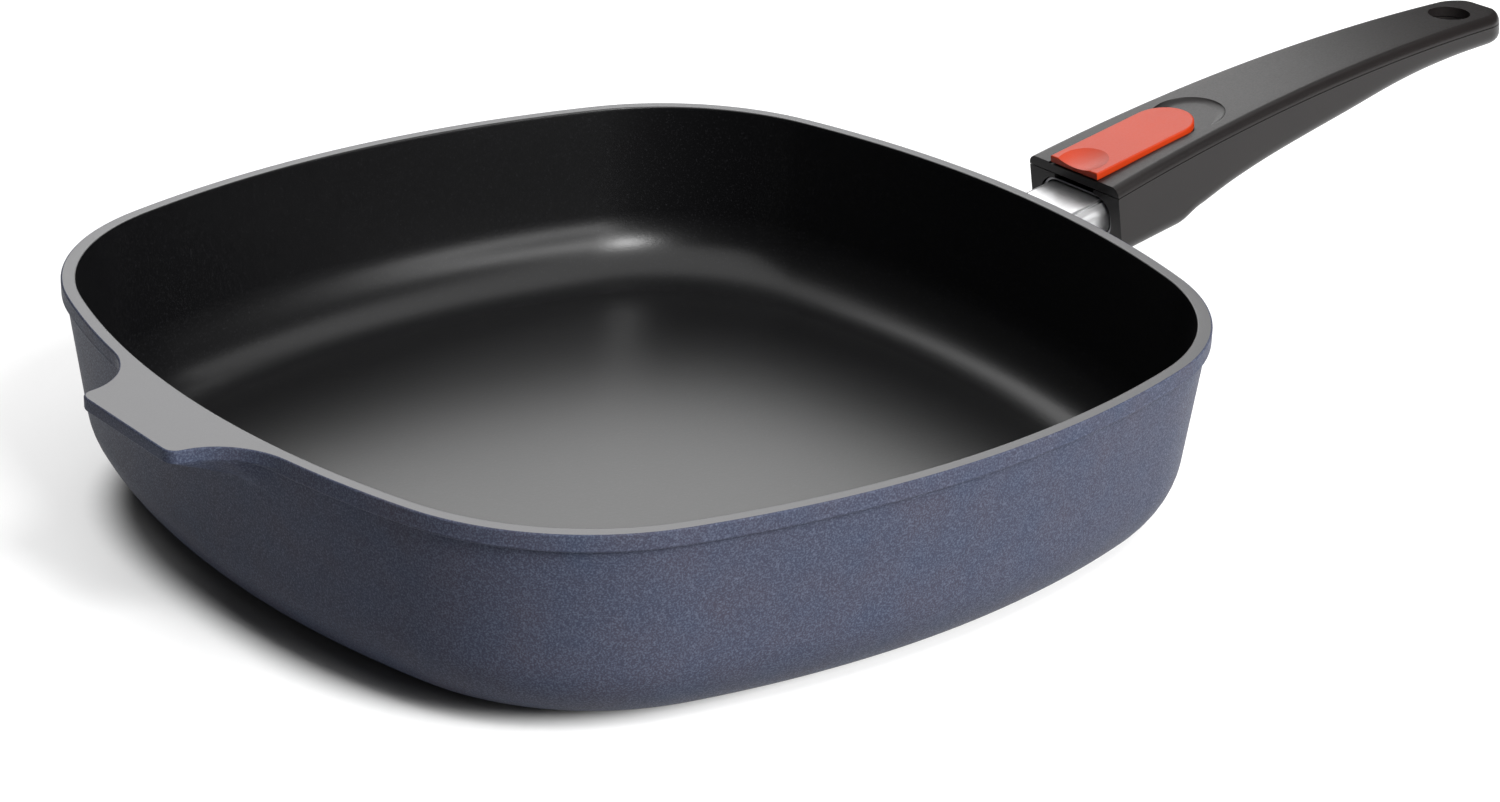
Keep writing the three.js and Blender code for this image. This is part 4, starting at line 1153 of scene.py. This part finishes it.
def stand_for(piece, body, node):
    """Makes a finer piece stand for a CAD node."""
    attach(piece, body)
    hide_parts(node)


def build_pan():
    """The casting and its stub."""
    bm = casting_mesh()
    boss_mesh(bm)
    casting = new_piece("pan_casting", bm, turned_base(), pearl_coat(), bare_rim(), black_lining())
    soften(casting, 0, CASTING_CRISP)
    stand_for(casting, "pan", "pan_body")

    # Aluminium tube, drawn and brushed: bright, with faint lines along it
    bright = drawn_metal("brushed_drawn_aluminium", "#c8c8c9", "#dededf", 0.36, 12)
    stand_for(stub_tube(bright), "pan", "handle_stub")


def build_handle():
    """The handle's two halves, the lining of its mouth, and the slider."""
    # Phenolic resin, moulded: near black and faintly brown, with a satin sheen
    black = moulded("moulded_black_phenolic", "#110f0f", "#201c1b", 0.37)
    stand_for(upper_cover(black), "handle", "handle_upper_shell")
    stand_for(lower_body(black), "handle", "handle_lower_shell")

    # Stainless strip, rolled bright
    strip = drawn_metal("bright_rolled_stainless", "#77777a", "#929294", 0.3, 8)
    stand_for(mouth_sleeve(strip), "handle", "socket_sleeve")

    # Nylon, coloured through and moulded: orange-red, with a soft sheen
    red = moulded("moulded_red_nylon", "#982a0a", "#ac3715", 0.42)
    stand_for(slider_cap(red), "slider", "release_slider")


def build_inside(frame):
    """What lies inside: the springs are drawn finer, the other CAD nodes get a finish."""
    # Steel, zinc plated: pale grey and slightly cloudy
    zinc = drawn_metal("zinc_plated_steel", "#a4a6a8", "#c4c6c8", 0.34, 1)
    dress(
        frame,
        zinc,
        "stub_washer",
        "stub_screw",
        "latch_screw_1",
        "latch_screw_2",
        "handle_screw_front_left",
        "handle_screw_front_right",
        "handle_screw_rear",
        "carriage_screw_left",
        "carriage_screw_right",
        "spring_guide_pin",
    )

    # Spring steel, hard drawn or rolled and oil tempered: darker and smooth
    spring_steel = drawn_metal("tempered_spring_steel", "#7d7f82", "#9b9da0", 0.3, 10)
    latch = latch_strip(spring_steel)
    stand_for(latch, "handle", "latch_leaf")
    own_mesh(latch)
    coil = return_coil(spring_steel)
    stand_for(coil, "handle", "return_spring")
    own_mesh(coil)

    # Acetal, moulded: black and a little waxy
    acetal = moulded("moulded_black_acetal", "#141415", "#222224", 0.38)
    dress(frame, acetal, "slider_carriage")


# The studio


def white_paper():
    """Matt paper. It glows for the camera and for mirrors, but lights nothing; the glow is held back round
    the pan's foot, which paints the pan's shadow.
    """
    material, tree, place = new_material("matt_white_paper")
    seen = add(tree, "ShaderNodeLightPath").outputs
    shown = maths(tree, "MAXIMUM", seen["Is Camera Ray"], seen["Is Glossy Ray"])
    # The cube root of x3 + y3 keeps the painted shadow to the pan's rounded square
    offset = vectors(tree, "SUBTRACT", place, (PAINTED_SHADE_CENTRE * MM, 0, 0))[0]
    sizes = vectors(tree, "ABSOLUTE", offset)[0]
    squares = vectors(tree, "MULTIPLY", sizes, sizes)[0]
    cubes = vectors(tree, "DOT_PRODUCT", squares, sizes)["Value"]
    away = maths(tree, "POWER", cubes, 1 / 3)
    # Painted shadow: the glow rises from none at the shade's core to FLOOR_GLOW at its edge
    painted_shade_glow = fit(tree, away, 0, FLOOR_GLOW, PAINTED_SHADE_CORE * MM, PAINTED_SHADE_EDGE * MM, interpolation_type="SMOOTHSTEP")
    level = fit(tree, away, painted_shade_glow, 1, PAINTED_SHADE_EDGE * MM, GLOW_END * MM)
    finish_with(
        tree,
        {
            "Base Color": mix(tree, noise(tree, place, 4, 2), "#acacac", "#b2b2b2"),
            "Roughness": 0.9,
            "Emission Color": (1, 1, 1, 1),
            "Emission Strength": maths(tree, "MULTIPLY", shown, level),
        },
    )
    return material


def studio():
    """A pale floor, an even room and soft boxes."""
    bm = bmesh.new()
    bmesh.ops.create_grid(bm, x_segments=2, y_segments=2, size=FLOOR_REACH)
    floor = new_piece("studio_floor", bm, white_paper())

    world = bpy.data.worlds.new("room")
    world.use_nodes = True
    background = world.node_tree.nodes["Background"]
    background.inputs["Color"].default_value = (1, 1, 1, 1)
    background.inputs["Strength"].default_value = ROOM_LIGHT
    bpy.context.scene.world = world

    for name, place, size, watts, mirrored in SOFT_BOXES:
        soft_box(name, place, size, watts, mirrored)


def soft_box(name, place, size, watts, mirrored):
    """A square lamp that faces the pan; shiny surfaces mirror it, or only take its light."""
    light = bpy.data.lights.new(name, "AREA")
    light.shape = "SQUARE"
    light.size = size
    light.energy = watts
    lamp = bpy.data.objects.new(name, light)
    lamp.location = place
    lamp.visible_glossy = mirrored
    lamp.rotation_euler = (Vector(AIM) - Vector(place)).to_track_quat("-Z", "Y").to_euler()
    bpy.context.scene.collection.objects.link(lamp)


def camera():
    """The photograph's view."""
    back = Vector(
        (sin(CAMERA_TURN) * cos(CAMERA_RISE), -cos(CAMERA_TURN) * cos(CAMERA_RISE), sin(CAMERA_RISE))
    )
    right = Vector((cos(CAMERA_TURN), sin(CAMERA_TURN), 0))
    up = back.cross(right)
    across = right * cos(CAMERA_ROLL) + up * sin(CAMERA_ROLL)
    over = up * cos(CAMERA_ROLL) - right * sin(CAMERA_ROLL)
    eye = (Vector(CAMERA_TARGET) + back * CAMERA_DISTANCE) * MM
    data = bpy.data.cameras.new("camera")
    data.lens = CAMERA_LENS
    data.sensor_width = FILM_WIDTH
    data.sensor_fit = "HORIZONTAL"
    eye_piece = bpy.data.objects.new("camera", data)
    eye_piece.matrix_world = Matrix.Translation(eye) @ Matrix((across, over, back)).transposed().to_4x4()
    bpy.context.scene.collection.objects.link(eye_piece)
    bpy.context.scene.camera = eye_piece
    bpy.context.scene.view_settings.view_transform = "Standard"


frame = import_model()
build_pan()
build_handle()
build_inside(frame)
studio()
camera()
